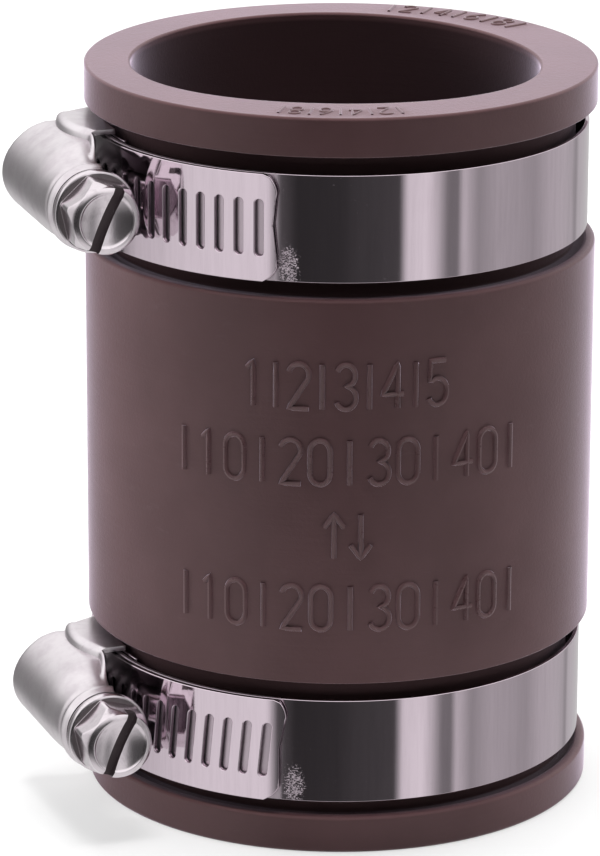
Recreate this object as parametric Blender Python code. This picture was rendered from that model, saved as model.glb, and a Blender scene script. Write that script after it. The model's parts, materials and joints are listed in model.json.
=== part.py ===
"""Flexible pipe coupling: a rubber sleeve held on two pipes by two worm-drive band clamps.

Metres, +Z up along the sleeve's axis. The origin is the centre of the sleeve's bottom end face.
Each clamp is modelled in a frame of its own, carried by an empty on the sleeve's axis: X points
out through the screw housing, Y runs along the screw towards its head, and Z is up.
"""

import math

import bmesh
import bpy
from mathutils import Vector

# Sleeve
LENGTH = 0.0889
BORE_RADIUS = 0.0239
NECK_WALL = 0.0040
RIM_HEIGHT = 0.00255
FLANGE_THICKNESS = 0.0046
GROOVE_MARGIN = 0.0011
RIM_EDGE = 0.0005
SHOULDER_EDGE = 0.0008
GROOVE_EDGE = 0.0003
BORE_EDGE = 0.0004

# The moulded bore is a little out of round at its top: waves around it, their size, and the
# angle of their crest in degrees. They fade out at this depth.
BORE_WAVES = ((1, 0.00078, 167.0), (2, 0.00052, -32.5), (3, 0.00064, -30.7))
BORE_WAVE_DEPTH = 0.030

# Clamp band, one strip coiled a little over one turn, in degrees from the housing's middle
BAND_WIDTH = 0.0127
BAND_THICKNESS = 0.00055
LAP_GAP = 0.00015
FIRST_TURN_START = -8.0
RISE_START = 300.0
RISE_END = 338.0
TAIL_END = 416.8
TAIL_CORNER = 0.0014
TAIL_CORNER_HEIGHT = 0.0021
TAIL_CHAMFER = 0.0007
TAIL_CHAMFER_HEIGHT = 0.0013
SLOT_PITCH = 0.00249
SLOT_WIDTH = 0.00105
SLOT_LENGTH = 0.0067
SLOT_COUNT = 22
SLOT_LAND = 0.00022

# Saddle plate under the band
SADDLE_THICKNESS = 0.00045
SADDLE_INSET = 0.0006
SADDLE_TONGUE = 0.0025

# Worm screw with a slotted hex washer head
THREAD_RADIUS = 0.00335
THREAD_DEPTH = 0.00075
THREAD_CREST = 0.25
THREAD_FLANK = 0.17
WORM_PAST_EARS = 0.0025
NECK_RADIUS = 0.0022
HEX_ACROSS_FLATS = 0.00794
HEX_CORNER = 0.00053
HEX_HEIGHT = 0.00435
HEX_CHAMFER = 0.0004
HEX_TURN = 17.5
COLLAR_OVERHANG = 0.0004
COLLAR_THICKNESS = 0.00125
COLLAR_EDGE = 0.00025
RECESS_RADIUS = 0.0032
RECESS_DEPTH = 0.00022
DRIVE_SLOT_WIDTH = 0.00125
DRIVE_SLOT_DEPTH = 0.0012
DRIVE_SLOT_TURN = 114.3

# Screw housing, pressed from sheet
SHEET = 0.0006
ROOF_CLEARANCE = 0.0013
SIDE_CLEARANCE = 0.00215
ARCH_FLARE = 0.00074
ARCH_SPRING = 0.00465
DOME_REAR = -0.0096
REAR_NOTCH = 0.0010
EAR_GAP = 0.00025
EAR_FRONT = 0.0020
EAR_REAR = -0.0103
EAR_CORNER = 0.0022
EAR_STEP_RISE = 0.0030
EAR_STEP_FALL = 0.0016
EAR_STEP_DROP = 0.0009
NOSE_OVERHANG = 0.0004
NOSE_HUG = 105.0
BEAD_HEIGHT = 0.0003
BEAD_LENGTH = 0.0012
LIP_DROP = 0.0004
HEAD_CLEARANCE = 0.0009

# The soft step from the dome's upright side out to the ear: points between the two, as the share
# of the step's drop that lies below the step's own height, and the share of its way out
EAR_SHOULDER = ((-0.4, 0.0), (0.1, 0.25), (0.5, 0.75), (1.0, 1.0))

# Gap between pieces that touch on the real object
SEAT = 0.0003

# How each clamp sits: its housing's turn from +X in degrees, its drop below the groove's middle,
# how far its housing lies towards the screw's head, and the lean of its tail's slots
UPPER_TURN = 199.0
UPPER_DROP = 0.0003
UPPER_SLIDE = 0.0
UPPER_LEAN = 0.0
LOWER_TURN = 200.5
LOWER_DROP = 0.0005
LOWER_SLIDE = 0.0012
LOWER_LEAN = 0.10

# Fineness of the round pieces
SLEEVE_SEGMENTS = 64
CORNER_STEPS = 2
BAND_STEP = 5.0
SLOT_ARC_STEPS = 4
SCREW_SEGMENTS = 36
THREAD_SEGMENTS = 24
ARCH_STEPS = 6
NOSE_COLUMNS = 2
BODY_ROWS = 4
NOSE_ROWS = 3
BEAD_ROWS = 4

# Radii from the sleeve's axis that follow from the sizes above
GROOVE_FLOOR = BORE_RADIUS + NECK_WALL
SLEEVE_RADIUS = GROOVE_FLOOR + RIM_HEIGHT
SADDLE_INNER = GROOVE_FLOOR + SEAT
SADDLE_OUTER = SADDLE_INNER + SADDLE_THICKNESS
BAND_INNER = SADDLE_OUTER + SEAT
TAIL_INNER = BAND_INNER + BAND_THICKNESS + LAP_GAP
TAIL_OUTER = TAIL_INNER + BAND_THICKNESS
SCREW_AXIS = TAIL_OUTER + SEAT + THREAD_RADIUS

# Half widths of the housing, and the groove that it needs
EAR_HALF_WIDTH = BAND_WIDTH / 2 + EAR_GAP + SHEET
SIDE_HALF_WIDTH = THREAD_RADIUS + SIDE_CLEARANCE + SHEET
ROOF_HEIGHT = THREAD_RADIUS + ROOF_CLEARANCE + SHEET
GROOVE_WIDTH = 2 * (EAR_HALF_WIDTH + GROOVE_MARGIN)

# Places along the screw: its collar is past the point where it would touch the band's tail
HEX_CORNER_RADIUS = HEX_ACROSS_FLATS / 2 + HEX_CORNER
COLLAR_RADIUS = HEX_CORNER_RADIUS + COLLAR_OVERHANG
COLLAR_UNDERSIDE = SCREW_AXIS - COLLAR_RADIUS
COLLAR_BACK = math.sqrt((TAIL_OUTER + SEAT) ** 2 - COLLAR_UNDERSIDE**2) + HEAD_CLEARANCE
COLLAR_FRONT = COLLAR_BACK + COLLAR_THICKNESS
HEAD_FRONT = COLLAR_FRONT + HEX_HEIGHT
LIP_AT = COLLAR_BACK - SEAT
BEAD_AT = LIP_AT - BEAD_LENGTH
NOSE_RADIUS = COLLAR_RADIUS + NOSE_OVERHANG

# Finishes, as colour, roughness and metallic value
RUBBER = ((0.105, 0.062, 0.062), 0.62, 0.0)
BAND_STEEL = ((0.62, 0.60, 0.60), 0.22, 1.0)
SHEET_STEEL = ((0.66, 0.65, 0.65), 0.34, 1.0)
SCREW_STEEL = ((0.60, 0.58, 0.58), 0.24, 1.0)


def clear_scene():
    for obj in list(bpy.data.objects):
        bpy.data.objects.remove(obj, do_unlink=True)


def make_material(name, finish):
    colour, roughness, metallic = finish
    material = bpy.data.materials.new(name)
    material.use_nodes = True
    shader = material.node_tree.nodes["Principled BSDF"]
    shader.inputs["Base Color"].default_value = (*colour, 1.0)
    shader.inputs["Roughness"].default_value = roughness
    shader.inputs["Metallic"].default_value = metallic
    return material


def add_object(name, bm, material=None, parent=None):
    """Turns the bmesh into a smooth shaded object, under its parent if it has one."""
    mesh = bpy.data.meshes.new(name)
    bm.to_mesh(mesh)
    bm.free()
    mesh.shade_smooth()
    mesh.set_sharp_from_angle(angle=math.radians(30))
    if material:
        mesh.materials.append(material)
    obj = bpy.data.objects.new(name, mesh)
    obj.parent = parent
    bpy.context.scene.collection.objects.link(obj)
    return obj


def hide_helper(obj):
    obj.hide_render = True
    obj.display_type = "WIRE"


def mix(first, second, share):
    return first + (second - first) * share


def smooth_step(value, start, end):
    """0 before start, 1 after end, with a soft curve between."""
    share = min(max((value - start) / (end - start), 0.0), 1.0)
    return share * share * (3.0 - 2.0 * share)


def round_corners(corners):
    """The closed outline through (x, y, radius) corners, each rounded by an arc of that radius."""
    outline = []
    for index, (x, y, radius) in enumerate(corners):
        corner = Vector((x, y))
        if radius <= 0.0:
            outline.append(corner)
            continue
        before = (Vector(corners[index - 1][:2]) - corner).normalized()
        after = (Vector(corners[(index + 1) % len(corners)][:2]) - corner).normalized()
        half_angle = before.angle(after) / 2
        centre = corner + (before + after).normalized() * radius / math.sin(half_angle)
        start = corner + before * radius / math.tan(half_angle) - centre
        end = corner + after * radius / math.tan(half_angle) - centre
        for step in range(CORNER_STEPS + 1):
            outline.append(centre + start.slerp(end, step / CORNER_STEPS) * radius)
    return outline


def bore_wave(angle, depth):
    """How far the bore's wall stands out from true round, at an angle and a depth below the top."""
    fade = 1.0 - smooth_step(depth, 0.0, BORE_WAVE_DEPTH)
    waves = [size * math.cos(count * (angle - math.radians(crest))) for count, size, crest in BORE_WAVES]
    return fade * sum(waves)


def make_sleeve(material):
    """One moulded body: a flange at each end, two grooves for the clamps and a thick middle."""
    lower_low = FLANGE_THICKNESS
    lower_high = FLANGE_THICKNESS + GROOVE_WIDTH
    upper_low = LENGTH - lower_high
    upper_high = LENGTH - lower_low
    outline = round_corners(
        [
            (BORE_RADIUS, LENGTH, BORE_EDGE),
            (SLEEVE_RADIUS, LENGTH, RIM_EDGE),
            (SLEEVE_RADIUS, upper_high, GROOVE_EDGE),
            (GROOVE_FLOOR, upper_high, 0.0),
            (GROOVE_FLOOR, upper_low, 0.0),
            (SLEEVE_RADIUS, upper_low, SHOULDER_EDGE),
            (SLEEVE_RADIUS, lower_high, GROOVE_EDGE),
            (GROOVE_FLOOR, lower_high, 0.0),
            (GROOVE_FLOOR, lower_low, 0.0),
            (SLEEVE_RADIUS, lower_low, SHOULDER_EDGE),
            (SLEEVE_RADIUS, 0.0, RIM_EDGE),
            (BORE_RADIUS, 0.0, BORE_EDGE),
            (BORE_RADIUS, LENGTH - BORE_WAVE_DEPTH, 0.0),
            (BORE_RADIUS, LENGTH - BORE_WAVE_DEPTH / 2, 0.0),
        ]
    )
    bm = bmesh.new()
    ring = [bm.verts.new((point.x, 0.0, point.y)) for point in outline]
    edges = [bm.edges.new((ring[index - 1], ring[index])) for index in range(len(ring))]
    bmesh.ops.spin(
        bm,
        geom=ring + edges,
        axis=(0, 0, 1),
        cent=(0, 0, 0),
        steps=SLEEVE_SEGMENTS,
        angle=2 * math.pi,
        use_merge=True,
    )
    bmesh.ops.recalc_face_normals(bm, faces=bm.faces)
    for vert in bm.verts:
        radius = math.hypot(vert.co.x, vert.co.y)
        if radius < BORE_RADIUS + 2 * BORE_EDGE:
            wave = bore_wave(math.atan2(vert.co.y, vert.co.x), LENGTH - vert.co.z)
            vert.co.xy *= (radius + wave) / radius
    return add_object("sleeve", bm, material)


def place_on_coil(along, height, rise, lean):
    """A point of the flat strip bent round the coil, whose last stretch lies over its first.

    The strip's length is measured at the tail's outer face. The lean slants the tail's slots.
    """
    angle = math.degrees(along / TAIL_OUTER)
    inner = mix(BAND_INNER, TAIL_INNER, smooth_step(angle, RISE_START, RISE_END))
    radius = inner + rise
    bend = (along + smooth_step(angle, RISE_END, 360.0) * lean * height) / TAIL_OUTER
    return Vector((radius * math.cos(bend), radius * math.sin(bend), height))


def add_slot_cell(bm, left, right, centre):
    """A stretch of flat strip with one round-ended slot, between two pairs of edge verts."""
    straight = (SLOT_LENGTH - SLOT_WIDTH) / 2
    middle = SLOT_ARC_STEPS // 2
    arcs = []
    for side in (0, 1):
        across = 1 - 2 * side
        arc = []
        for step in range(SLOT_ARC_STEPS + 1):
            turn = math.pi * (1.0 - step / SLOT_ARC_STEPS)
            reach = straight + SLOT_WIDTH / 2 * math.sin(turn)
            arc.append(bm.verts.new((centre + SLOT_WIDTH / 2 * math.cos(turn), across * reach, 0.0)))
        for step in range(SLOT_ARC_STEPS):
            corner = left[side] if step < middle else right[side]
            bm.faces.new((corner, arc[step], arc[step + 1]))
        bm.faces.new((left[side], arc[middle], right[side]))
        arcs.append(arc)
    bm.faces.new((left[0], left[1], arcs[1][0], arcs[0][0]))
    bm.faces.new((right[0], arcs[0][-1], arcs[1][-1], right[1]))


def make_band(name, lean, material, parent):
    """A slotted strip, modelled flat, thickened, and then bent round the coil."""
    half_width = BAND_WIDTH / 2
    start = math.radians(FIRST_TURN_START) * TAIL_OUTER
    end = math.radians(TAIL_END) * TAIL_OUTER
    last_slot = end - TAIL_CORNER - SLOT_LAND - SLOT_WIDTH / 2
    slots_start = last_slot - SLOT_PITCH * (SLOT_COUNT - 0.5)
    plain_cells = math.ceil((slots_start - start) / (math.radians(BAND_STEP) * TAIL_OUTER))
    stations = [mix(start, slots_start, cell / plain_cells) for cell in range(plain_cells)]
    stations += [slots_start + SLOT_PITCH * cell for cell in range(SLOT_COUNT)]
    stations.append(end - TAIL_CORNER)

    bm = bmesh.new()
    pairs = [[bm.verts.new((along, side * half_width, 0.0)) for side in (1, -1)] for along in stations]
    for cell, (left, right) in enumerate(zip(pairs, pairs[1:])):
        slot = cell - plain_cells
        if slot < 0:
            bm.faces.new((left[0], left[1], right[1], right[0]))
        else:
            add_slot_cell(bm, left, right, last_slot - SLOT_PITCH * (SLOT_COUNT - 1 - slot))

    tip = []
    for turn in (90.0, 60.0, 30.0, 0.0):
        along = end - TAIL_CORNER * (1.0 - math.cos(math.radians(turn)))
        across = half_width - TAIL_CORNER_HEIGHT * (1.0 - math.sin(math.radians(turn)))
        tip.append((along, across))
    tip.append((end, TAIL_CHAMFER_HEIGHT - half_width))
    tip.append((end - TAIL_CHAMFER, -half_width))
    tip_verts = [bm.verts.new((*point, 0.0)) for point in tip[1:]]
    bm.faces.new((*pairs[-1], *reversed(tip_verts)))

    raised = bmesh.ops.extrude_face_region(bm, geom=bm.faces[:])["geom"]
    raised = [item for item in raised if isinstance(item, bmesh.types.BMVert)]
    bmesh.ops.translate(bm, vec=(0.0, 0.0, BAND_THICKNESS), verts=raised)
    bmesh.ops.recalc_face_normals(bm, faces=bm.faces)
    for vert in bm.verts:
        vert.co = place_on_coil(*vert.co, lean)
    return add_object(name, bm, material, parent)


def make_saddle(name, slide, material, parent):
    """A curved plate between the band and the rubber, under the whole housing."""
    start = math.asin((EAR_REAR + SADDLE_INSET + slide) / SADDLE_INNER)
    end = math.asin((EAR_FRONT + SADDLE_TONGUE + slide) / SADDLE_INNER)
    steps = math.ceil(math.degrees(end - start) / BAND_STEP)
    bm = bmesh.new()
    corners = []
    for radius, side in ((SADDLE_INNER, -1), (SADDLE_OUTER, -1), (SADDLE_OUTER, 1), (SADDLE_INNER, 1)):
        height = side * BAND_WIDTH / 2
        corners.append(bm.verts.new((radius * math.cos(start), radius * math.sin(start), height)))
    section = bm.faces.new(corners)
    bmesh.ops.spin(bm, geom=[section], axis=(0, 0, 1), cent=(0, 0, 0), steps=steps, angle=end - start)
    bmesh.ops.recalc_face_normals(bm, faces=bm.faces)
    return add_object(name, bm, material, parent)


def arch_reach(angle):
    """From the screw's axis to the dome's outer face: half an ellipse, cut off by its upright sides."""
    height = ARCH_SPRING + ROOF_HEIGHT
    half_width = SIDE_HALF_WIDTH + ARCH_FLARE
    cosine, sine = math.cos(angle), math.sin(angle)
    square = (cosine / height) ** 2 + (sine / half_width) ** 2
    linear = ARCH_SPRING * cosine / height**2
    constant = (ARCH_SPRING / height) ** 2 - 1.0
    reach = (math.sqrt(linear**2 - square * constant) - linear) / square
    return min(reach, SIDE_HALF_WIDTH / max(sine, 1e-6))


def nose_reach(along):
    """From the screw's axis to the nose's outer face, with its bead and the lip behind the collar."""
    bead = 1.0 - smooth_step(abs(along - BEAD_AT), 0.0, BEAD_LENGTH)
    lip = smooth_step(along, BEAD_AT, LIP_AT)
    return NOSE_RADIUS + BEAD_HEIGHT * bead - LIP_DROP * lip


def housing_section(along, slide):
    """Half of the housing's outer section at a place along the screw, as (out, sideways) points.

    It runs from the roof down the dome, over the step of the ear and down to the ear's foot.
    """
    share = smooth_step(along, EAR_FRONT, BEAD_AT - BEAD_LENGTH)
    points = []
    for step in range(ARCH_STEPS + 1):
        angle = math.pi / 2 * step / ARCH_STEPS
        reach = mix(arch_reach(angle), nose_reach(along), share)
        points.append((SCREW_AXIS + reach * math.cos(angle), reach * math.sin(angle)))

    bow = (2 * along - EAR_FRONT - EAR_REAR) / (EAR_FRONT - EAR_REAR)
    step_at = TAIL_OUTER + EAR_STEP_RISE - EAR_STEP_FALL * min(bow * bow, 1.0)
    for count, (drop, way_out) in enumerate(EAR_SHOULDER, 1):
        out = step_at - drop * EAR_STEP_DROP
        sideways = mix(SIDE_HALF_WIDTH, EAR_HALF_WIDTH, way_out)
        if count <= NOSE_COLUMNS:
            angle = math.radians(mix(90.0, NOSE_HUG, count / NOSE_COLUMNS))
            reach = nose_reach(along)
            out = mix(out, SCREW_AXIS + reach * math.cos(angle), share)
            sideways = mix(sideways, reach * math.sin(angle), share)
        points.append((out, sideways))
    points.append((math.sqrt(SADDLE_OUTER**2 - (along + slide) ** 2), EAR_HALF_WIDTH))
    return points


def make_housing(name, slide, material, parent):
    """A pressed sheet: the dome over the worm, the nose round the screw and an ear on each side."""
    rears = [DOME_REAR] * (ARCH_STEPS + 1) + [DOME_REAR + REAR_NOTCH] * NOSE_COLUMNS
    nose_columns = len(rears)
    rears += [EAR_REAR + EAR_CORNER] * (len(EAR_SHOULDER) - NOSE_COLUMNS) + [EAR_REAR]
    bead_start = BEAD_AT - BEAD_LENGTH
    nose_places = [mix(EAR_FRONT, bead_start, (row + 1) / NOSE_ROWS) for row in range(NOSE_ROWS)]
    nose_places += [mix(bead_start, LIP_AT, (row + 1) / BEAD_ROWS) for row in range(BEAD_ROWS)]

    bm = bmesh.new()
    grid = {}
    for column, rear in enumerate(rears):
        places = [mix(rear, EAR_FRONT, row / BODY_ROWS) for row in range(BODY_ROWS + 1)]
        if column < nose_columns:
            places += nose_places
        for row, along in enumerate(places):
            out, sideways = housing_section(along, slide)[column]
            grid[1, row, column] = bm.verts.new((out, along + slide, sideways))
            if column == 0:
                grid[-1, row, column] = grid[1, row, column]
            else:
                grid[-1, row, column] = bm.verts.new((out, along + slide, -sideways))
    for side, row, column in grid:
        steps = ((0, 0), (0, 1), (1, 1), (1, 0))
        corners = [grid.get((side, row + down, column + across)) for down, across in steps]
        if None not in corners:
            bm.faces.new(corners if side < 0 else reversed(corners))
    housing = add_object(name, bm, material, parent)
    sheet = housing.modifiers.new("sheet", "SOLIDIFY")
    sheet.thickness = SHEET
    sheet.offset = -1.0
    sheet.use_even_offset = True
    sheet.use_quality_normals = True
    return housing


def hex_reach(angle):
    """From the screw's axis to the hex head's side, at an angle in degrees from one of its corners."""
    from_flat = math.radians(angle % 60.0 - 30.0)
    return min(HEX_ACROSS_FLATS / 2 / math.cos(from_flat), HEX_CORNER_RADIUS)


def add_head(bm):
    """The neck, collar and hex head, as rings of points that are bridged and closed at both ends."""
    rings = [
        (EAR_FRONT, NECK_RADIUS, False),
        (COLLAR_BACK, NECK_RADIUS, False),
        (COLLAR_BACK, COLLAR_RADIUS - COLLAR_EDGE, False),
        (COLLAR_BACK + COLLAR_EDGE, COLLAR_RADIUS, False),
        (COLLAR_FRONT - COLLAR_EDGE, COLLAR_RADIUS, False),
        (COLLAR_FRONT, COLLAR_RADIUS - COLLAR_EDGE, False),
        (COLLAR_FRONT, COLLAR_RADIUS - COLLAR_EDGE, True),
        (HEAD_FRONT - HEX_CHAMFER, COLLAR_RADIUS, True),
        (HEAD_FRONT, HEX_CORNER_RADIUS - HEX_CHAMFER, True),
        (HEAD_FRONT, RECESS_RADIUS, False),
        (HEAD_FRONT - RECESS_DEPTH, RECESS_RADIUS - RECESS_DEPTH, False),
    ]
    loops = []
    for height, limit, is_hex in rings:
        loop = []
        for point in range(SCREW_SEGMENTS):
            from_corner = 360.0 * point / SCREW_SEGMENTS
            turn = math.radians(from_corner - HEX_TURN)
            reach = min(limit, hex_reach(from_corner)) if is_hex else limit
            loop.append(bm.verts.new((reach * math.cos(turn), reach * math.sin(turn), height)))
        loops.append(loop)
    for loop, following in zip(loops, loops[1:]):
        for point in range(SCREW_SEGMENTS):
            bm.faces.new((loop[point - 1], loop[point], following[point], following[point - 1]))
    bm.faces.new(reversed(loops[0]))
    bm.faces.new(loops[-1])


def add_worm(bm):
    """A right-hand thread on its core: its rows wind once round the axis for each pitch."""
    worm_start = DOME_REAR + REAR_NOTCH
    worm_end = EAR_FRONT + WORM_PAST_EARS
    turns = int((worm_end - worm_start) / SLOT_PITCH) - 1
    marks = (
        (0.0, THREAD_RADIUS),
        (THREAD_CREST, THREAD_RADIUS),
        (THREAD_CREST + THREAD_FLANK, THREAD_RADIUS - THREAD_DEPTH),
        (1.0 - THREAD_FLANK, THREAD_RADIUS - THREAD_DEPTH),
    )
    rows = turns * len(marks)
    verts = {}
    for column in range(THREAD_SEGMENTS):
        turn = 2 * math.pi * column / THREAD_SEGMENTS
        extra = len(marks) if column == 0 else 0
        for row in range(rows + extra + 1):
            share, radius = marks[row % len(marks)]
            pitches = row // len(marks) + share + column / THREAD_SEGMENTS
            height = worm_start + SLOT_PITCH * pitches
            verts[column, row] = bm.verts.new((radius * math.cos(turn), radius * math.sin(turn), height))
    for row in range(rows + 1):
        verts[THREAD_SEGMENTS, row] = verts[0, row + len(marks)]
    for column in range(THREAD_SEGMENTS):
        for row in range(rows):
            corners = ((column, row), (column + 1, row), (column + 1, row + 1), (column, row + 1))
            bm.faces.new([verts[corner] for corner in corners])
    for row, height in ((0, worm_start), (rows, worm_start + SLOT_PITCH * (turns + 1))):
        centre = bm.verts.new((0.0, 0.0, height))
        rim = [verts[column, row] for column in range(THREAD_SEGMENTS)]
        rim += [verts[0, place] for place in range(row + len(marks), row, -1)]
        for index, vert in enumerate(rim):
            bm.faces.new((centre, rim[index - 1], vert))


def make_screw(name, slide, material, parent):
    """The screw lies along its own Z, which its turn brings along the clamp's Y."""
    bm = bmesh.new()
    add_head(bm)
    bmesh.ops.recalc_face_normals(bm, faces=bm.faces)
    screw = add_object(name, bm, material, parent)
    screw.location = (SCREW_AXIS, slide, 0.0)
    screw.rotation_euler = (math.radians(-90.0), 0.0, 0.0)

    bm = bmesh.new()
    add_worm(bm)
    bmesh.ops.recalc_face_normals(bm, faces=bm.faces)
    worm = add_object(name + "_worm", bm, parent=screw)
    hide_helper(worm)

    bm = bmesh.new()
    bmesh.ops.create_cube(bm, size=1.0)
    size = (4 * COLLAR_RADIUS, DRIVE_SLOT_WIDTH, 2 * DRIVE_SLOT_DEPTH)
    bmesh.ops.scale(bm, vec=size, verts=bm.verts)
    drive_slot = add_object(name + "_drive_slot", bm, parent=screw)
    drive_slot.location = (0.0, 0.0, HEAD_FRONT)
    drive_slot.rotation_euler = (0.0, 0.0, math.radians(-DRIVE_SLOT_TURN))
    hide_helper(drive_slot)

    join = screw.modifiers.new("worm", "BOOLEAN")
    join.operation = "UNION"
    join.object = worm
    cut = screw.modifiers.new("drive slot", "BOOLEAN")
    cut.operation = "DIFFERENCE"
    cut.object = drive_slot
    return screw


def make_clamp(prefix, height, turn, slide, lean, steels):
    """One whole clamp, round the sleeve's axis at this height."""
    axis = bpy.data.objects.new(prefix + "_clamp_axis", None)
    axis.location = (0.0, 0.0, height)
    axis.rotation_euler = (0.0, 0.0, math.radians(turn))
    bpy.context.scene.collection.objects.link(axis)
    make_band(prefix + "_band", lean, steels["band_steel"], axis)
    make_saddle(prefix + "_saddle", slide, steels["band_steel"], axis)
    make_housing(prefix + "_housing", slide, steels["sheet_steel"], axis)
    make_screw(prefix + "_screw", slide, steels["screw_steel"], axis)


def main():
    clear_scene()
    steels = {
        "band_steel": make_material("band_steel", BAND_STEEL),
        "sheet_steel": make_material("sheet_steel", SHEET_STEEL),
        "screw_steel": make_material("screw_steel", SCREW_STEEL),
    }
    make_sleeve(make_material("rubber", RUBBER))
    groove_middle = FLANGE_THICKNESS + GROOVE_WIDTH / 2
    upper_height = LENGTH - groove_middle - UPPER_DROP
    lower_height = groove_middle - LOWER_DROP
    make_clamp("upper", upper_height, UPPER_TURN, UPPER_SLIDE, UPPER_LEAN, steels)
    make_clamp("lower", lower_height, LOWER_TURN, LOWER_SLIDE, LOWER_LEAN, steels)


main()
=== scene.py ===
# %% [markdown]
# # A flexible pipe coupling
# A short rubber sleeve goes over two pipe ends, and a worm-drive clamp squeezes each end of it.
# The solids that this file loads already have the right sizes and the right places, so they are
# the frame: every piece made here takes its sizes from them, and stands in the same place.
# What is added is what a solid for checking doesn't need, such as rolled edges, a fine thread,
# moulded marks and the finish of each surface.

# %% The frame and the tools
import json
import math

import bmesh
import bpy
from mathutils import Matrix, Vector


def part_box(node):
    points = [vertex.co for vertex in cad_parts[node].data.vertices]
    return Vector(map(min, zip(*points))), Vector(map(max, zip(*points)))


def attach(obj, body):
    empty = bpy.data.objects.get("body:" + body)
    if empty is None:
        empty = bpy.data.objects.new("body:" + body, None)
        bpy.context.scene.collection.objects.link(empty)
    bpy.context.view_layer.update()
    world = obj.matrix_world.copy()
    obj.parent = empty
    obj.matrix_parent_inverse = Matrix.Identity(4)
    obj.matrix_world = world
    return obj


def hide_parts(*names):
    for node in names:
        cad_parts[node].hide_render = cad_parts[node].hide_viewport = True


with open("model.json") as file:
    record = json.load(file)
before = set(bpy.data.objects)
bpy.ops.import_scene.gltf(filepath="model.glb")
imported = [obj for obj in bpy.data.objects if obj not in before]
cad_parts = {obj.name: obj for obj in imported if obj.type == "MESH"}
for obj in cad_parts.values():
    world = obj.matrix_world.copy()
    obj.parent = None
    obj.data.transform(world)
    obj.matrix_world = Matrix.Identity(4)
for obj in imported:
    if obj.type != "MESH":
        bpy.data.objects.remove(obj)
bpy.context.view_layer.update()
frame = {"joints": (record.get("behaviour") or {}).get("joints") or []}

joints = {joint["name"]: joint for joint in frame["joints"]}
low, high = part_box("sleeve")
LENGTH = high.z
SLEEVE_RADIUS = high.x
print("sleeve", round(1000 * LENGTH, 2), "mm long,", round(2000 * SLEEVE_RADIUS, 2), "mm across")

# %% [markdown]
# ## Camera
# The photo was taken from a little above with a long lens, about 0.6 m away. A long lens keeps
# the sleeve's sides almost upright. The camera is placed by a matrix: its columns are the
# picture's right, the picture's up, and the way back from the object.

# %% Place the camera
CAMERA_AT = Vector((-0.00471, -0.57522, 0.22170))
CAMERA_TARGET = Vector((-0.00471, 0.0, 0.04299))
CAMERA_ROLL = math.radians(0.196)
CAMERA_LENS = 209.2

forward = (CAMERA_TARGET - CAMERA_AT).normalized()
level = forward.cross(Vector((0.0, 0.0, 1.0))).normalized()
upright = level.cross(forward)
right = level * math.cos(CAMERA_ROLL) + upright * math.sin(CAMERA_ROLL)
up = upright * math.cos(CAMERA_ROLL) - level * math.sin(CAMERA_ROLL)

camera = bpy.data.objects.new("camera", bpy.data.cameras.new("camera"))
camera.data.lens = CAMERA_LENS
camera.data.clip_start = 0.01
axes = Matrix((right, up, -forward)).transposed().to_4x4()
camera.matrix_world = Matrix.Translation(CAMERA_AT) @ axes
bpy.context.scene.collection.objects.link(camera)
bpy.context.scene.camera = camera
bpy.context.scene.view_settings.view_transform = "Standard"
print("camera", round(CAMERA_AT.length, 3), "m from the origin")

# %% [markdown]
# ## Shader maths as plain Python
# A node tree is easier to read as formulas. A Wire holds one socket of a tree, and adding or
# multiplying Wires adds the Math nodes. Any other node comes from its node method: first the
# node's settings, then what goes into its sockets, which may be numbers, colours or other Wires.


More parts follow.
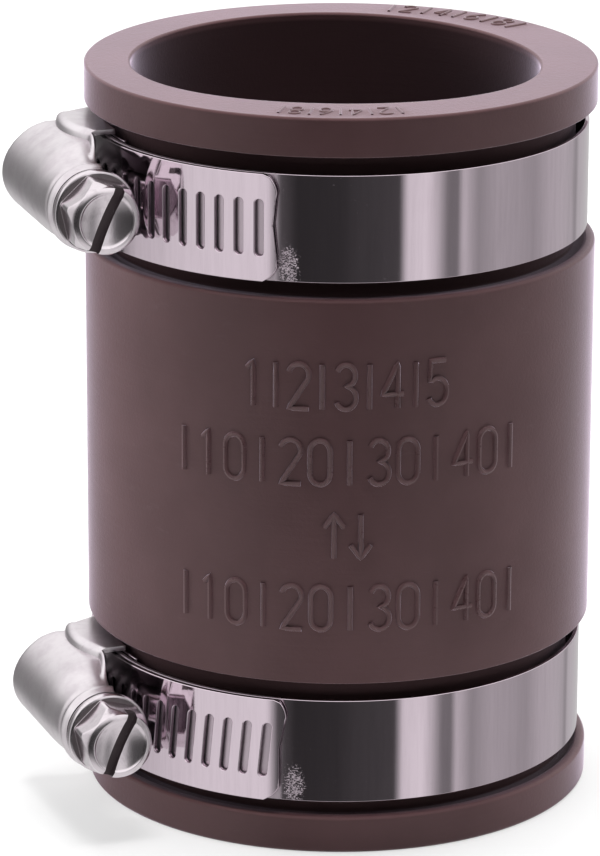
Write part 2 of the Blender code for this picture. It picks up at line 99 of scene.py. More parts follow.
# %% The wire
class Wire:
    """One output socket, which can be added, multiplied and fed to further nodes."""

    def __init__(self, tree, socket=None):
        self.tree = tree
        self.socket = socket

    def node(self, kind, settings=None, inputs=None, output=0):
        """Makes a node: its settings first, then the values or links of its sockets."""
        made = self.tree.nodes.new("ShaderNode" + kind)
        for name, value in (settings or {}).items():
            if name == "stops":
                ramp = made.color_ramp
                while len(ramp.elements) < len(value):
                    ramp.elements.new(1.0)
                for element, (place, level) in zip(ramp.elements, value):
                    element.position = place
                    element.color = (level, level, level, 1.0) if isinstance(level, float) else level
            else:
                setattr(made, name, value)
        for key, value in (inputs or {}).items():
            if isinstance(value, Wire):
                self.tree.links.new(value.socket, made.inputs[key])
            else:
                made.inputs[key].default_value = value
        return Wire(self.tree, made.outputs[output] if made.outputs else None)

    def math(self, operation, *values, clamp=False):
        settings = {"operation": operation, "use_clamp": clamp}
        return self.node("Math", settings, dict(enumerate(values)))

    def __add__(self, other):
        return self.math("ADD", self, other)

    def __sub__(self, other):
        return self.math("SUBTRACT", self, other)

    def __mul__(self, other):
        return self.math("MULTIPLY", self, other)

    def __truediv__(self, other):
        return self.math("DIVIDE", self, other)

    def __radd__(self, other):
        return self.math("ADD", other, self)

    def __rsub__(self, other):
        return self.math("SUBTRACT", other, self)

    def __rmul__(self, other):
        return self.math("MULTIPLY", other, self)

    def spread(self, low, high, start=0.0, end=1.0):
        """Maps low to high onto start to end, with soft ends. What lies outside stays at the ends."""
        settings = {"interpolation_type": "SMOOTHSTEP"}
        return self.node("MapRange", settings, {0: self, 1: low, 2: high, 3: start, 4: end})

    def part(self, index):
        """The x, y or z of a vector."""
        return self.node("SeparateXYZ", inputs={0: self}, output=index)

    def stretch(self, x, y, z):
        """A place, stretched by these factors, so that a pattern gets smaller along each of them."""
        return self.node("VectorMath", {"operation": "MULTIPLY"}, {0: self, 1: (x, y, z)})

    def noise(self, scale, detail=2.0, roughness=0.5):
        inputs = {"Vector": self, "Scale": scale, "Detail": detail, "Roughness": roughness}
        return self.node("TexNoise", inputs=inputs)

    def attribute(self, name):
        """A value that the piece's own mesh holds at each point."""
        return self.node("Attribute", {"attribute_name": name}, output="Fac")

    def blend(self, first, second):
        """From the first colour to the second, as this wire goes from 0 to 1."""
        settings = {"data_type": "RGBA", "clamp_factor": True}
        return self.node("Mix", settings, {0: self, 6: first, 7: second}, output=2)


print("wires are ready")

# %% [markdown]
# ## Light
# The photo is of a plain studio kind: a white sweep, a broad soft light overhead and a tall one
# on each side. Steel shows hardly any colour of its own. It shows the studio, so the studio is
# described as what a mirror sees: cards of different brightness round the object, by their angle
# from straight ahead. Rubber only needs soft light, which comes from the sky's level and from
# four lamps, most of it from above and behind. The camera itself sees plain white.

# %% What a mirror sees round the object
# Angle in degrees, positive towards the picture's right, and brightness
STUDIO_CARDS = (
    (-180, 0.70),
    (-104, 0.70),
    (-70, 0.92),
    (-33, 0.96),
    (-28, 0.10),
    (-20, 0.035),
    (0, 0.042),
    (8, 0.060),
    (27, 0.075),
    (30.5, 0.86),
    (40, 0.98),
    (45, 0.66),
    (50, 0.24),
    (55, 0.22),
    (58, 0.70),
    (66, 0.37),
    (77, 0.52),
    (92, 0.47),
    (101, 0.42),
    (111, 0.56),
    (126, 0.60),
    (136, 0.52),
    (140, 0.34),
    (144, 0.58),
    (180, 0.62),
)
OVERHEAD = 1.35
OVERHEAD_FROM_TO = (0.10, 0.50)
FLOOR_GLOW = 0.90
FLOOR_FROM_TO = (-0.36, -0.75)
SKY_FRONT = 0.01
SKY_BACK = 0.90
SKY_FROM_TO = (0.0, 0.75)
DARK_CORNER = Vector((-0.70, 0.70, -0.03)).normalized()
DARK_CORNER_FROM_TO = (0.84, 0.97)
DARK_CORNER_LEVEL = 0.30

print("studio cards:", len(STUDIO_CARDS))

# %% Build the world from the cards
world = bpy.data.worlds.new("studio")
bpy.context.scene.world = world
world.use_nodes = True
world.node_tree.nodes.clear()
studio = Wire(world.node_tree)
# In the world, this output is the direction that is looked in
direction = studio.node("TexCoord", output=0)
height = direction.part(2)
azimuth = studio.math("ARCTAN2", direction.part(0), 0.0 - direction.part(1))
share = azimuth / (2 * math.pi) + 0.5
stops = [(angle / 360.0 + 0.5, level) for angle, level in STUDIO_CARDS]
cards = share.node("ValToRGB", {"stops": stops}, {0: share})
cards = cards.node("SeparateColor", inputs={0: cards}, output=0)
settings = {"operation": "DOT_PRODUCT"}
corner = direction.node("VectorMath", settings, {0: direction, 1: DARK_CORNER}, output=1)
cards = cards * corner.spread(*DARK_CORNER_FROM_TO, 1.0, DARK_CORNER_LEVEL)
mirror = cards + height.spread(*OVERHEAD_FROM_TO) * (OVERHEAD - cards)
mirror = mirror + height.spread(*FLOOR_FROM_TO) * (FLOOR_GLOW - mirror)
sky = direction.part(1).spread(*SKY_FROM_TO, SKY_FRONT, SKY_BACK)
camera_ray = studio.node("LightPath", output="Is Camera Ray")
glossy_ray = studio.node("LightPath", output="Is Glossy Ray")
brightness = sky + glossy_ray * (mirror - sky)
brightness = brightness + camera_ray * (1.0 - brightness)
background = studio.node("Background", inputs={"Color": (1.0, 1.0, 1.0, 1.0), "Strength": brightness})
background.node("OutputWorld", inputs={"Surface": background})
print("world nodes:", len(world.node_tree.nodes))


# %% Soft lamps
# Name, place, the height on the axis that it faces, its side and its power in watts
LAMPS = (
    ("lamp_above", (0.0, 0.0, 1.0), 0.05, 0.40, 11.4),
    ("lamp_behind", (-0.05, 0.50, 0.40), 0.05, 0.40, 1.0),
    ("lamp_right", (0.54, 0.28, 0.05), 0.04, 0.34, 2.4),
    ("lamp_left", (-0.55, 0.25, 0.05), 0.04, 0.34, 4.2),
)


def soft_lamp(name, place, target_height, size, power):
    """A square lamp that faces the object's axis. Its own square doesn't show in the steel."""
    lamp = bpy.data.objects.new(name, bpy.data.lights.new(name, "AREA"))
    lamp.data.size = size
    lamp.data.energy = power
    facing = Vector((0.0, 0.0, target_height)) - Vector(place)
    turn = facing.to_track_quat("-Z", "Y").to_matrix().to_4x4()
    lamp.matrix_world = Matrix.Translation(place) @ turn
    lamp.visible_glossy = False
    bpy.context.scene.collection.objects.link(lamp)


for lamp in LAMPS:
    soft_lamp(*lamp)
print("lamps:", len(LAMPS))

# %% [markdown]
# ## Floor
# A pale sweep under the object. The camera sees it partly as plain white, as in the photo, so the
# object's shadow stays but is light. Steel doesn't mirror it: the studio cards stand for it. It
# ends close in front, so that little light comes back from there and the front stays dark.

# %% The floor's paper
FLOOR_WHITE = 0.6
PAPER_DARK = (0.94, 0.94, 0.94, 1.0)
PAPER_LIGHT = (0.97, 0.97, 0.97, 1.0)

floor_material = bpy.data.materials.new("white_sweep")
floor_material.use_nodes = True
floor_material.node_tree.nodes.clear()
sweep = Wire(floor_material.node_tree)
grain = sweep.node("TexCoord", output="Object").noise(60.0)
paper = grain.spread(0.3, 0.7).blend(PAPER_DARK, PAPER_LIGHT)
paper = sweep.node("BsdfDiffuse", inputs={"Color": paper})
glow = sweep.node("Emission", inputs={"Strength": 1.0})
seen = sweep.node("LightPath", output="Is Camera Ray") * FLOOR_WHITE
sweep = sweep.node("MixShader", inputs={0: seen, 1: paper, 2: glow})
sweep.node("OutputMaterial", inputs={"Surface": sweep})
print("floor's paper nodes:", len(floor_material.node_tree.nodes))

# %% Lay the floor
FLOOR_SIZE = 2.4
FLOOR_FRONT = 0.17


def mesh_from(bm, name):
    """Turns a finished bmesh into a mesh."""
    mesh = bpy.data.meshes.new(name)
    bm.to_mesh(mesh)
    bm.free()
    return mesh


bm = bmesh.new()
behind = Matrix.Translation((0.0, FLOOR_SIZE / 2 - FLOOR_FRONT, 0.0))
bmesh.ops.create_grid(bm, x_segments=1, y_segments=1, size=FLOOR_SIZE / 2, matrix=behind)
floor_mesh = mesh_from(bm, "floor")
floor_mesh.materials.append(floor_material)
floor = bpy.data.objects.new("floor", floor_mesh)
floor.visible_glossy = False
bpy.context.scene.collection.objects.link(floor)
print("floor", FLOOR_SIZE, "m across")

# %% [markdown]
# ## Finishes
# Each finish is one Principled BSDF. Fixed numbers are set on its own sockets, and only what
# changes over the surface is linked: colour, roughness, and the bump that feeds the normal.


# %% A finish with a bump
def new_finish(name, **fixed):
    """A material with one Principled BSDF, and a Wire to build patterns from its object's own place."""
    material = bpy.data.materials.new(name)
    material.use_nodes = True
    shader = material.node_tree.nodes["Principled BSDF"]
    for socket, value in fixed.items():
        shader.inputs[socket.replace("_", " ")].default_value = value
    place = Wire(material.node_tree).node("TexCoord", output="Object")
    return material, shader, place


def connect(shader, colour, roughness, relief, depth, strength=0.5):
    """Links what changes over the surface. Relief goes from 0 to 1, and is this deep in metres."""
    inputs = {"Strength": strength, "Distance": depth, "Height": relief}
    normal = relief.node("Bump", inputs=inputs)
    for socket, wire in (("Base Color", colour), ("Roughness", roughness), ("Normal", normal)):
        wire.tree.links.new(wire.socket, shader.inputs[socket])


print("finish tools are ready")

# %% [markdown]
# ### Rubber
# The sleeve is moulded from a maroon-brown elastomer. Close up it isn't even: the mould was
# turned on a lathe, which leaves fine rings, the skin has pores, and handling leaves paler
# scuffs. The grooves and the bore are darkened with painted shade, and the raised marks are
# rubbed smoother and a little paler, partly wear and partly a painted highlight.
# It is matt from the front and turns pale and a little pink at a glancing angle, as dusty
# elastomer does, which a thin layer of sheen gives.

# %% Rubber finish
RUBBER_DARK = (0.092, 0.041, 0.044, 1.0)
RUBBER_LIGHT = (0.120, 0.058, 0.062, 1.0)
RUBBER_PAINTED_SHADE = (0.020, 0.008, 0.009, 1.0)
RUBBER_SCUFF = (0.16, 0.10, 0.105, 1.0)
HOLLOW_RADII = (0.0286, 0.0301)
UNSHADED_ENDS = (LENGTH / 2 - 0.0011, LENGTH / 2 - 0.0005)
RUBBER_RELIEF = 0.00006

rubber, rubber_shader, place = new_finish(
    "rubber_skin",
    Specular_IOR_Level=0.35,
    Sheen_Weight=0.85,
    Sheen_Roughness=0.30,
    Sheen_Tint=(0.95, 0.82, 1.0, 1.0),
)
mottle = place.noise(55.0, 4.0, 0.6)
rings = place.stretch(45.0, 45.0, 1500.0).noise(1.0, 4.0, 0.7)
pores = place.noise(2400.0, 3.0, 0.7)
scuffs = place.stretch(260.0, 260.0, 900.0).noise(1.0, 5.0, 0.7).spread(0.60, 0.74)
skin = mottle.spread(0.25, 0.75).blend(RUBBER_DARK, RUBBER_LIGHT)
skin = (scuffs * 0.15).blend(skin, RUBBER_SCUFF)
radius = place.stretch(1.0, 1.0, 0.0)
radius = radius.node("VectorMath", {"operation": "LENGTH"}, {0: radius}, output=1)
from_middle = place.math("ABSOLUTE", place.part(2) - LENGTH / 2)
shaded_hollows = radius.spread(*HOLLOW_RADII, 1.0, 0.0) * from_middle.spread(*UNSHADED_ENDS, 1.0, 0.0)
# Painted shade: the grooves and the bore are darkened most of the way to near black, fading out towards
# the sleeve's outer face and within about a millimetre of its ends.
skin = (shaded_hollows * 0.75).blend(skin, RUBBER_PAINTED_SHADE)
worn = place.attribute("worn")
# The raised marks are painted a little paler: partly wear, partly a painted highlight.
skin = (worn * 0.25).blend(skin, RUBBER_SCUFF)
roughness = 0.38 + mottle * 0.10 + pores * 0.08 - scuffs * 0.04 + shaded_hollows * 0.40 - worn * 0.18
relief = rings * 0.7 + pores * 0.6 + mottle * 0.5
connect(rubber_shader, skin, roughness, relief, RUBBER_RELIEF, 0.7)
print("rubber finish")

# %% [markdown]
# ### Steels
# Three finishes of stainless steel: the band is bright rolled strip with very fine lines along
# its length, the housing is pressed from duller sheet, and the screw is cold headed, which
# leaves it smooth and a little uneven.

# %% Band finish
BAND_COLOUR = (0.66, 0.560, 0.625, 1.0)
BAND_DULL = (0.44, 0.37, 0.41, 1.0)
BAND_PAINTED_SHADE = (0.020, 0.012, 0.014, 1.0)
STEEL_RELIEF = 0.00002
# Each band's rubbed patch: its turn in degrees and its height, and the size of all
RUBBED_PLACES = ((258.2 - 360.0, 0.0712), (259.8 - 360.0, 0.0079))
RUBBED_TURN = 0.050
RUBBED_HEIGHT = 0.0030

band_steel, band_shader, place = new_finish("rolled_strip", Metallic=1.0)
lines = place.stretch(24.0, 24.0, 9000.0).noise(1.0, 3.0, 0.6)
waviness = place.stretch(1.0, 1.0, 0.04).noise(420.0, 3.0, 0.6)
streaks = place.stretch(1.0, 1.0, 0.06).noise(1500.0, 3.0, 0.7)
smears = place.stretch(260.0, 260.0, 60.0).noise(1.0, 4.0, 0.65)
# Painted shade: where the tail lies over it, the first turn is dulled halfway to the darker steel, and it
# is rougher too.
covered = place.attribute("covered")
# Painted shade: the band's inner face, and the stretch beside the housing with its edge broken by smears,
# go nearly black.
grease = place.attribute("grease")
grease = (grease + smears * 0.5).spread(0.65, 0.95)


def rubbed(angle, height):
    """A patch where the tail's end has rubbed the turn beneath, at this angle and height."""
    turn = place.math("ARCTAN2", place.part(1), place.part(0))
    sideways = (turn - math.radians(angle)) / RUBBED_TURN
    upwards = (place.part(2) - height) / RUBBED_HEIGHT
    return (sideways * sideways + upwards * upwards).spread(0.0, 1.6, 1.0, 0.0)


upper_patch, lower_patch = [rubbed(angle, height) for angle, height in RUBBED_PLACES]
pits = place.stretch(1.0, 1.0, 1.8).noise(3800.0, 4.0, 0.75)
pits = (pits + (upper_patch + lower_patch) * 0.20).spread(0.71, 0.77)
dullness = smears.spread(0.50, 0.85) * 0.25 + streaks.spread(0.3, 0.8) * 0.20 + pits * 0.1
tint = dullness.blend(BAND_COLOUR, BAND_DULL)
tint = (grease * 0.9).blend((covered * 0.5).blend(tint, BAND_DULL), BAND_PAINTED_SHADE)
roughness = 0.035 + lines * 0.02 + smears * 0.04 + pits * 0.22 + covered * 0.34 + grease * 0.2
relief = lines * 0.12 + waviness * 0.18 + streaks * 0.06 - pits * 0.8
connect(band_shader, tint, roughness, relief, STEEL_RELIEF)
print("band finish")

# %% Housing finish
SHEET_COLOUR = (0.70, 0.655, 0.680, 1.0)
SHEET_DULL = (0.50, 0.44, 0.48, 1.0)

sheet_steel, sheet_shader, place = new_finish("pressed_sheet", Metallic=1.0)
grain = place.stretch(1.0, 1.0, 1.6).noise(2600.0, 3.0, 0.65)
patches = place.noise(420.0, 3.0, 0.6)
scratches = place.stretch(500.0, 3200.0, 900.0).noise(1.0, 3.0, 0.7).spread(0.63, 0.70)
tint = (patches.spread(0.35, 0.75) * 0.5 + scratches * 0.3).blend(SHEET_COLOUR, SHEET_DULL)
roughness = 0.24 + patches * 0.14 + grain * 0.06
relief = grain * 0.5 + patches * 1.0 - scratches * 0.5
connect(sheet_shader, tint, roughness, relief, STEEL_RELIEF)
print("housing finish")

# %% Screw finish
SCREW_COLOUR = (0.68, 0.62, 0.655, 1.0)
SCREW_DULL = (0.42, 0.37, 0.40, 1.0)
SCREW_PAINTED_SHADE = (0.035, 0.022, 0.024, 1.0)

screw_steel, screw_shader, place = new_finish("headed_screw", Metallic=1.0)
grain = place.noise(3000.0, 3.0, 0.65)
patches = place.noise(700.0, 4.0, 0.65)
tint = (patches.spread(0.45, 0.80) * 0.5).blend(SCREW_COLOUR, SCREW_DULL)
# Painted shade: the drive slot and the collar's front face round the hexagon are darkened nearly to
# black, and they are rougher.
grime = place.attribute("grime")
tint = (grime * 0.92).blend(tint, SCREW_PAINTED_SHADE)
roughness = 0.12 + patches * 0.08 + grain * 0.05 + grime * 0.4
relief = grain * 0.25 + patches * 0.5
connect(screw_shader, tint, roughness, relief, STEEL_RELIEF)
print("screw finish")

# %% [markdown]
# ## Putting a piece in place
# Each clamp is easiest to make in a frame of its own: X points out through the screw housing,
# Y runs along the screw to its head, and Z is up. The joints of the loaded solids say where that
# frame is. Every finished mesh is moved by its vertices, and its object stays at the origin.


# %% Clamp frames
def clamp_frame(prefix):
    """The matrix from a clamp's own frame to the object's."""
    along = Vector(joints[prefix + "_screw_turn"]["axis"])
    above = Vector((0.0, 0.0, 1.0))
    out = along.cross(above)
    place = Matrix((out, along, above)).transposed().to_4x4()
    place.translation = joints[prefix + "_clamp_turn"]["pos_m"]
    return place


for prefix in ("upper", "lower"):
    print(prefix, "clamp", round(1000 * clamp_frame(prefix).translation.z, 2), "mm up")


# %% Finished pieces
def finish_piece(name, bm, material, body, nodes, place=None, sharp=40.0):
    """Turns a bmesh into a smooth piece that rides on a body and stands for these solids.

    An edge that turns by more than sharp, in degrees, stays sharp.
    """
    mesh = mesh_from(bm, name)
    if place:
        mesh.transform(place)
    mesh.shade_smooth()
    mesh.set_sharp_from_angle(angle=math.radians(sharp))
    mesh.materials.append(material)
    piece = bpy.data.objects.new(name, mesh)
    bpy.context.scene.collection.objects.link(piece)
    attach(piece, body)
    if nodes:
        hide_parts(*nodes)
    print(name, len(mesh.polygons), "faces")
    return piece


def even_shading(piece):
    """Lets the large faces set the shading, so that narrow rounded edges don't bend it."""
    weights = piece.modifiers.new("even shading", "WEIGHTED_NORMAL")
    weights.keep_sharp = True
    weights.weight = 80


def round_edges(piece, width, segments=2):
    """Takes the sharpness off every edge that turns by 50 degrees or more."""
    edges = piece.modifiers.new("edges", "BEVEL")
    edges.width = width
    edges.segments = segments
    edges.limit_method = "ANGLE"
    edges.angle_limit = math.radians(50)


print("ready to finish pieces")


# %% Soft steps and mixes
def smooth_step(value, start, end):
    """0 before start, 1 after end, with a soft curve between."""
    share = min(max((value - start) / (end - start), 0.0), 1.0)
    return share * share * (3.0 - 2.0 * share)


def mix(first, second, share):
    return first + (second - first) * share


print("a soft step is at", smooth_step(0.25, 0.0, 1.0), "after a quarter of its way")

# %% [markdown]
# ## The sleeve
# The real sleeve is moulded as one piece, with a flange at each end and a groove for each clamp.
# It could be cut from a tube by Booleans. It is round all over, though, so it is turned: one
# closed outline of its wall, spun once round. The outline starts as sharp corners, and a vertex
# bevel rounds each of them by its own radius. Last, the bore's mouth gets its slow waves, since
# soft rubber never stays quite round.

# %% Sizes of the sleeve
BORE_RADIUS = 0.0239
NECK_WALL = 0.0040
FLANGE_THICKNESS = 0.0046
GROOVE_WIDTH = 0.0166
GROOVE_FLOOR = BORE_RADIUS + NECK_WALL

lower_low = FLANGE_THICKNESS
lower_high = FLANGE_THICKNESS + GROOVE_WIDTH
upper_low = LENGTH - lower_high
upper_high = LENGTH - lower_low

LIP_INNER = SLEEVE_RADIUS - 0.0011
LIP_FOOT = LIP_INNER - 0.0002
LIP_HEIGHT = 0.0003
LIP_FALL = 0.0001


def groove_outline(low, high):
    """A groove from its upper edge down to the low lip that stands inside its lower edge."""
    return (
        (SLEEVE_RADIUS, high, 0.00018),
        (GROOVE_FLOOR, high, 0.0003),
        (GROOVE_FLOOR, low - LIP_HEIGHT, 0.0003),
        (LIP_FOOT, low - LIP_HEIGHT, 0.00012),
        (LIP_INNER, low - LIP_FALL, 0.00008),
        (SLEEVE_RADIUS, low - LIP_FALL, 0.00045),
    )


# Radius from the axis, height, and the corner's rounding
SLEEVE_OUTLINE = (
    (BORE_RADIUS, LENGTH, 0.00035),
    (SLEEVE_RADIUS, LENGTH, 0.00035),
    *groove_outline(upper_low, upper_high),
    *groove_outline(lower_low, lower_high),
    (SLEEVE_RADIUS, 0.0, 0.0005),
    (BORE_RADIUS, 0.0, 0.0004),
)
print("corners:", len(SLEEVE_OUTLINE), "groove floor", round(2000 * GROOVE_FLOOR, 2), "mm across")

# %% The bore's waves
# How many go round the bore, how high, and where the first crest is in degrees
BORE_WAVES = ((1, 0.00078, 167.0), (2, 0.00052, -32.5), (3, 0.00064, -30.7))
BORE_WAVE_DEPTH = 0.030


def bore_wave(angle, depth):
    """How far the bore's wall stands out from true round, at an angle and a depth below the top."""
    fade = 1.0 - smooth_step(depth, 0.0, BORE_WAVE_DEPTH)
    waves = 0.0
    for count, size, crest in BORE_WAVES:
        waves += size * math.cos(count * (angle - math.radians(crest)))
    return fade * waves


print("the mouth stands out", round(1000 * bore_wave(0.0, 0.0), 2), "mm on the right")

# %% Turn the sleeve
SLEEVE_STEPS = 256
BORE_CUTS = 24


def spin_round(bm, steps):
    """Spins the wire in this bmesh once round Z, and closes what meets on the axis."""
    bmesh.ops.spin(
        bm,
        geom=bm.verts[:] + bm.edges[:],
        axis=(0, 0, 1),
        cent=(0, 0, 0),
        steps=steps,
        angle=2 * math.pi,
        use_merge=True,
    )
    bmesh.ops.remove_doubles(bm, verts=bm.verts, dist=1e-7)
    bmesh.ops.recalc_face_normals(bm, faces=bm.faces)


bm = bmesh.new()
corners = [bm.verts.new((radius, 0.0, height)) for radius, height, rounding in SLEEVE_OUTLINE]
bm.faces.new(corners)
for corner, (radius, height, rounding) in zip(corners, SLEEVE_OUTLINE):
    bmesh.ops.bevel(
        bm, geom=[corner], offset=rounding, segments=5, profile=0.5, affect="VERTICES", material=-1
    )
bmesh.ops.delete(bm, geom=bm.faces[:], context="FACES_ONLY")
bore_line = [edge for edge in bm.edges if abs(edge.verts[0].co.z - edge.verts[1].co.z) > LENGTH / 2]
bmesh.ops.subdivide_edges(bm, edges=bore_line, cuts=BORE_CUTS)
spin_round(bm, SLEEVE_STEPS)
for vert in bm.verts:
    radius = math.hypot(vert.co.x, vert.co.y)
    if radius < BORE_RADIUS + 0.0008:
        wave = bore_wave(math.atan2(vert.co.y, vert.co.x), LENGTH - vert.co.z)
        vert.co.xy *= (radius + wave) / radius
sleeve = finish_piece("rubber_sleeve", bm, rubber, "sleeve", ["sleeve"])
even_shading(sleeve)

# %% [markdown]
# ## Moulded marks
# A mould maker engraves the mould with a round cutter, so each moulded mark is a low round
# ridge of one width. A curve with a round bevel is just that: the cutter's path is the curve.
# The marks here are plain ones, figures, ticks and arrows, drawn flat and then wrapped round.

# %% The cutter's paths
ARC_STEPS = 16


def arc(x, y, reach_x, reach_y, start, end):
    """Points of an arc about x, y, from one angle to another in degrees."""
    angles = [math.radians(mix(start, end, step / ARC_STEPS)) for step in range(ARC_STEPS + 1)]
    return [(x + reach_x * math.cos(angle), y + reach_y * math.sin(angle)) for angle in angles]


# Each figure is this wide and 1 tall, as one or more paths
FIGURE_WIDTH = 0.44
FIGURES = {
    "0": [
        arc(0.22, 0.74, 0.22, 0.26, 0, 180) + arc(0.22, 0.26, 0.22, 0.26, 180, 360) + [(0.44, 0.74)]
    ],
    "1": [[(0.08, 0.84), (0.22, 1.0), (0.22, 0.0)]],
    "2": [arc(0.22, 0.77, 0.22, 0.23, 165, -25) + [(0.0, 0.0), (0.44, 0.0)]],
    "3": [arc(0.22, 0.76, 0.20, 0.24, 155, -90) + arc(0.22, 0.26, 0.22, 0.26, 90, -155)],
    "4": [[(0.33, 0.0), (0.33, 1.0), (0.0, 0.32), (0.46, 0.32)]],
    "5": [[(0.40, 1.0), (0.05, 1.0), (0.03, 0.56)] + arc(0.21, 0.30, 0.23, 0.30, 120, -150)],
    "6": [[(0.36, 1.0), (0.10, 0.62)] + arc(0.22, 0.29, 0.22, 0.29, 150, 510)],
    "8": [arc(0.22, 0.77, 0.19, 0.23, -90, 270) + arc(0.22, 0.27, 0.22, 0.27, 90, -270)],
    "|": [[(0.22, 0.0), (0.22, 1.0)]],
    "^": [[(0.22, 0.0), (0.22, 1.0)], [(0.0, 0.70), (0.22, 1.0), (0.44, 0.70)]],
    "v": [[(0.22, 1.0), (0.22, 0.0)], [(0.0, 0.30), (0.22, 0.0), (0.44, 0.30)]],
}
print("figures, ticks and arrows:", len(FIGURES))

# %% Draw a row of marks
PATH_STEP = 0.0004


def draw_row(text, height, pitch, ridge):
    """A flat row of ridges, centred on x = 0 and standing on y = 0, as a mesh."""
    curve = bpy.data.curves.new("row", "CURVE")
    curve.dimensions = "3D"
    curve.bevel_depth = ridge
    curve.bevel_resolution = 2
    curve.use_fill_caps = True
    for index, figure in enumerate(text):
        left = (index - len(text) / 2) * pitch + (pitch - FIGURE_WIDTH * height) / 2
        for path in FIGURES[figure]:
            points = []
            for (x0, y0), (x1, y1) in zip(path, path[1:]):
                pieces = max(1, math.ceil(math.dist((x0, y0), (x1, y1)) * height / PATH_STEP))
                shares = [step / pieces for step in range(pieces)]
                points += [(mix(x0, x1, share), mix(y0, y1, share)) for share in shares]
            points.append(path[-1])
            points = [point for point, before in zip(points, [None] + points) if point != before]
            spline = curve.splines.new("POLY")
            spline.points.add(len(points) - 1)
            for target, (x, y) in zip(spline.points, points):
                target.co = (left + x * height, y * height, 0.0, 1.0)
    drawn = bpy.data.objects.new("row", curve)
    mesh = bpy.data.meshes.new_from_object(drawn)
    bpy.data.objects.remove(drawn)
    bpy.data.curves.remove(curve)
    return mesh


print("a step of the cutter's path is", 1000 * PATH_STEP, "mm")


# %% Wrap a row round the sleeve
def wrap_on_side(x, y, z, turn, height):
    """A flat point laid on the sleeve's side, its middle at this turn."""
    angle = math.radians(turn) + x / SLEEVE_RADIUS
    radius = SLEEVE_RADIUS + z
    return Vector((radius * math.cos(angle), radius * math.sin(angle), height + y))


def wrap_on_rim(x, y, z, turn, radius):
    """A flat point laid on the top face, its foot towards the bore."""
    angle = math.radians(turn) - x / radius
    return Vector(((radius + y) * math.cos(angle), (radius + y) * math.sin(angle), LENGTH + z))


print("a row on the side stands at", round(wrap_on_side(0, 0, 0, 270.0, 0.0).y, 4), "m")

# %% Make the marks
MARK_HEIGHT = 0.0053
MARK_RADIUS = 0.00033
# Text, wrap, turn in degrees, the row's foot (a height or a radius), figure height, pitch, ridge
MARK_ROWS = (
    ("1|2|3|4|5", wrap_on_side, 271.0, 0.0547, MARK_HEIGHT, 0.0027, MARK_RADIUS),
    ("|10|20|30|40|", wrap_on_side, 271.9, 0.0456, MARK_HEIGHT, 0.0034, MARK_RADIUS),
    ("^v", wrap_on_side, 271.5, 0.0367, MARK_HEIGHT, 0.0031, MARK_RADIUS),
    ("|10|20|30|40|", wrap_on_side, 272.2, 0.0279, MARK_HEIGHT, 0.0034, MARK_RADIUS),
    ("|2|4|6|8|", wrap_on_rim, 58.0, 0.0260, 0.0033, 0.0021, 0.00020),
    ("|2|4|6|8|", wrap_on_rim, 269.5, 0.0258, 0.0030, 0.0016, 0.00015),
)

bm = bmesh.new()
for text, wrap, turn, foot, height, pitch, ridge in MARK_ROWS:
    mesh = draw_row(text, height, pitch, ridge)
    for vert in mesh.vertices:
        vert.co = wrap(*vert.co, turn, foot)
    bm.from_mesh(mesh)
    bpy.data.meshes.remove(mesh)
# Every mark counts as rubbed: smoother, and a little paler, partly wear and partly a painted highlight.
worn = bm.verts.layers.float.new("worn")
for vert in bm.verts:
    vert[worn] = 1.0
finish_piece("moulded_marks", bm, rubber, "sleeve", [])

# %% [markdown]
# ## The clamp's sizes
# The clamp's parts share these sizes. They are the solids' own, in metres, along the radius from
# the sleeve's axis or along the screw.

# %% Sizes of the clamps
# How far each clamp's housing lies towards the screw's head, and the lean of its tail's slots
CLAMPS = {"upper": (0.0, 0.0), "lower": (0.0012, 0.10)}
BAND_WIDTH = 0.0127
BAND_THICKNESS = 0.00055
LAP_GAP = 0.00015
SEAT = 0.0003
SADDLE_THICKNESS = 0.00045
THREAD_RADIUS = 0.00335
SADDLE_INNER = GROOVE_FLOOR + SEAT
SADDLE_OUTER = SADDLE_INNER + SADDLE_THICKNESS
BAND_INNER = SADDLE_OUTER + SEAT
TAIL_INNER = BAND_INNER + BAND_THICKNESS + LAP_GAP
TAIL_OUTER = TAIL_INNER + BAND_THICKNESS
SCREW_AXIS = TAIL_OUTER + SEAT + THREAD_RADIUS

print("screw's axis", round(1000 * SCREW_AXIS, 2), "mm from the sleeve's axis")

# %% [markdown]
# ## The bands
# A band is one strip, coiled a little over one turn, with its tail over its start. It is made
# flat, as the real one is punched flat: one slot in its own cell of strip, repeated, then the
# plain strip drawn out of one end and the tail's tip out of the other. The edges get their
# rounding while it is flat, and it is bent last. Such bright strip shows each small fault of its
# shading, so what every corner faces is worked out flat too, and bent with the strip.

# %% Sizes of a band
FIRST_TURN_START = -8.0
RISE_START = 300.0
RISE_END = 338.0
TAIL_END = 416.8
TAIL_LAND = 0.00162
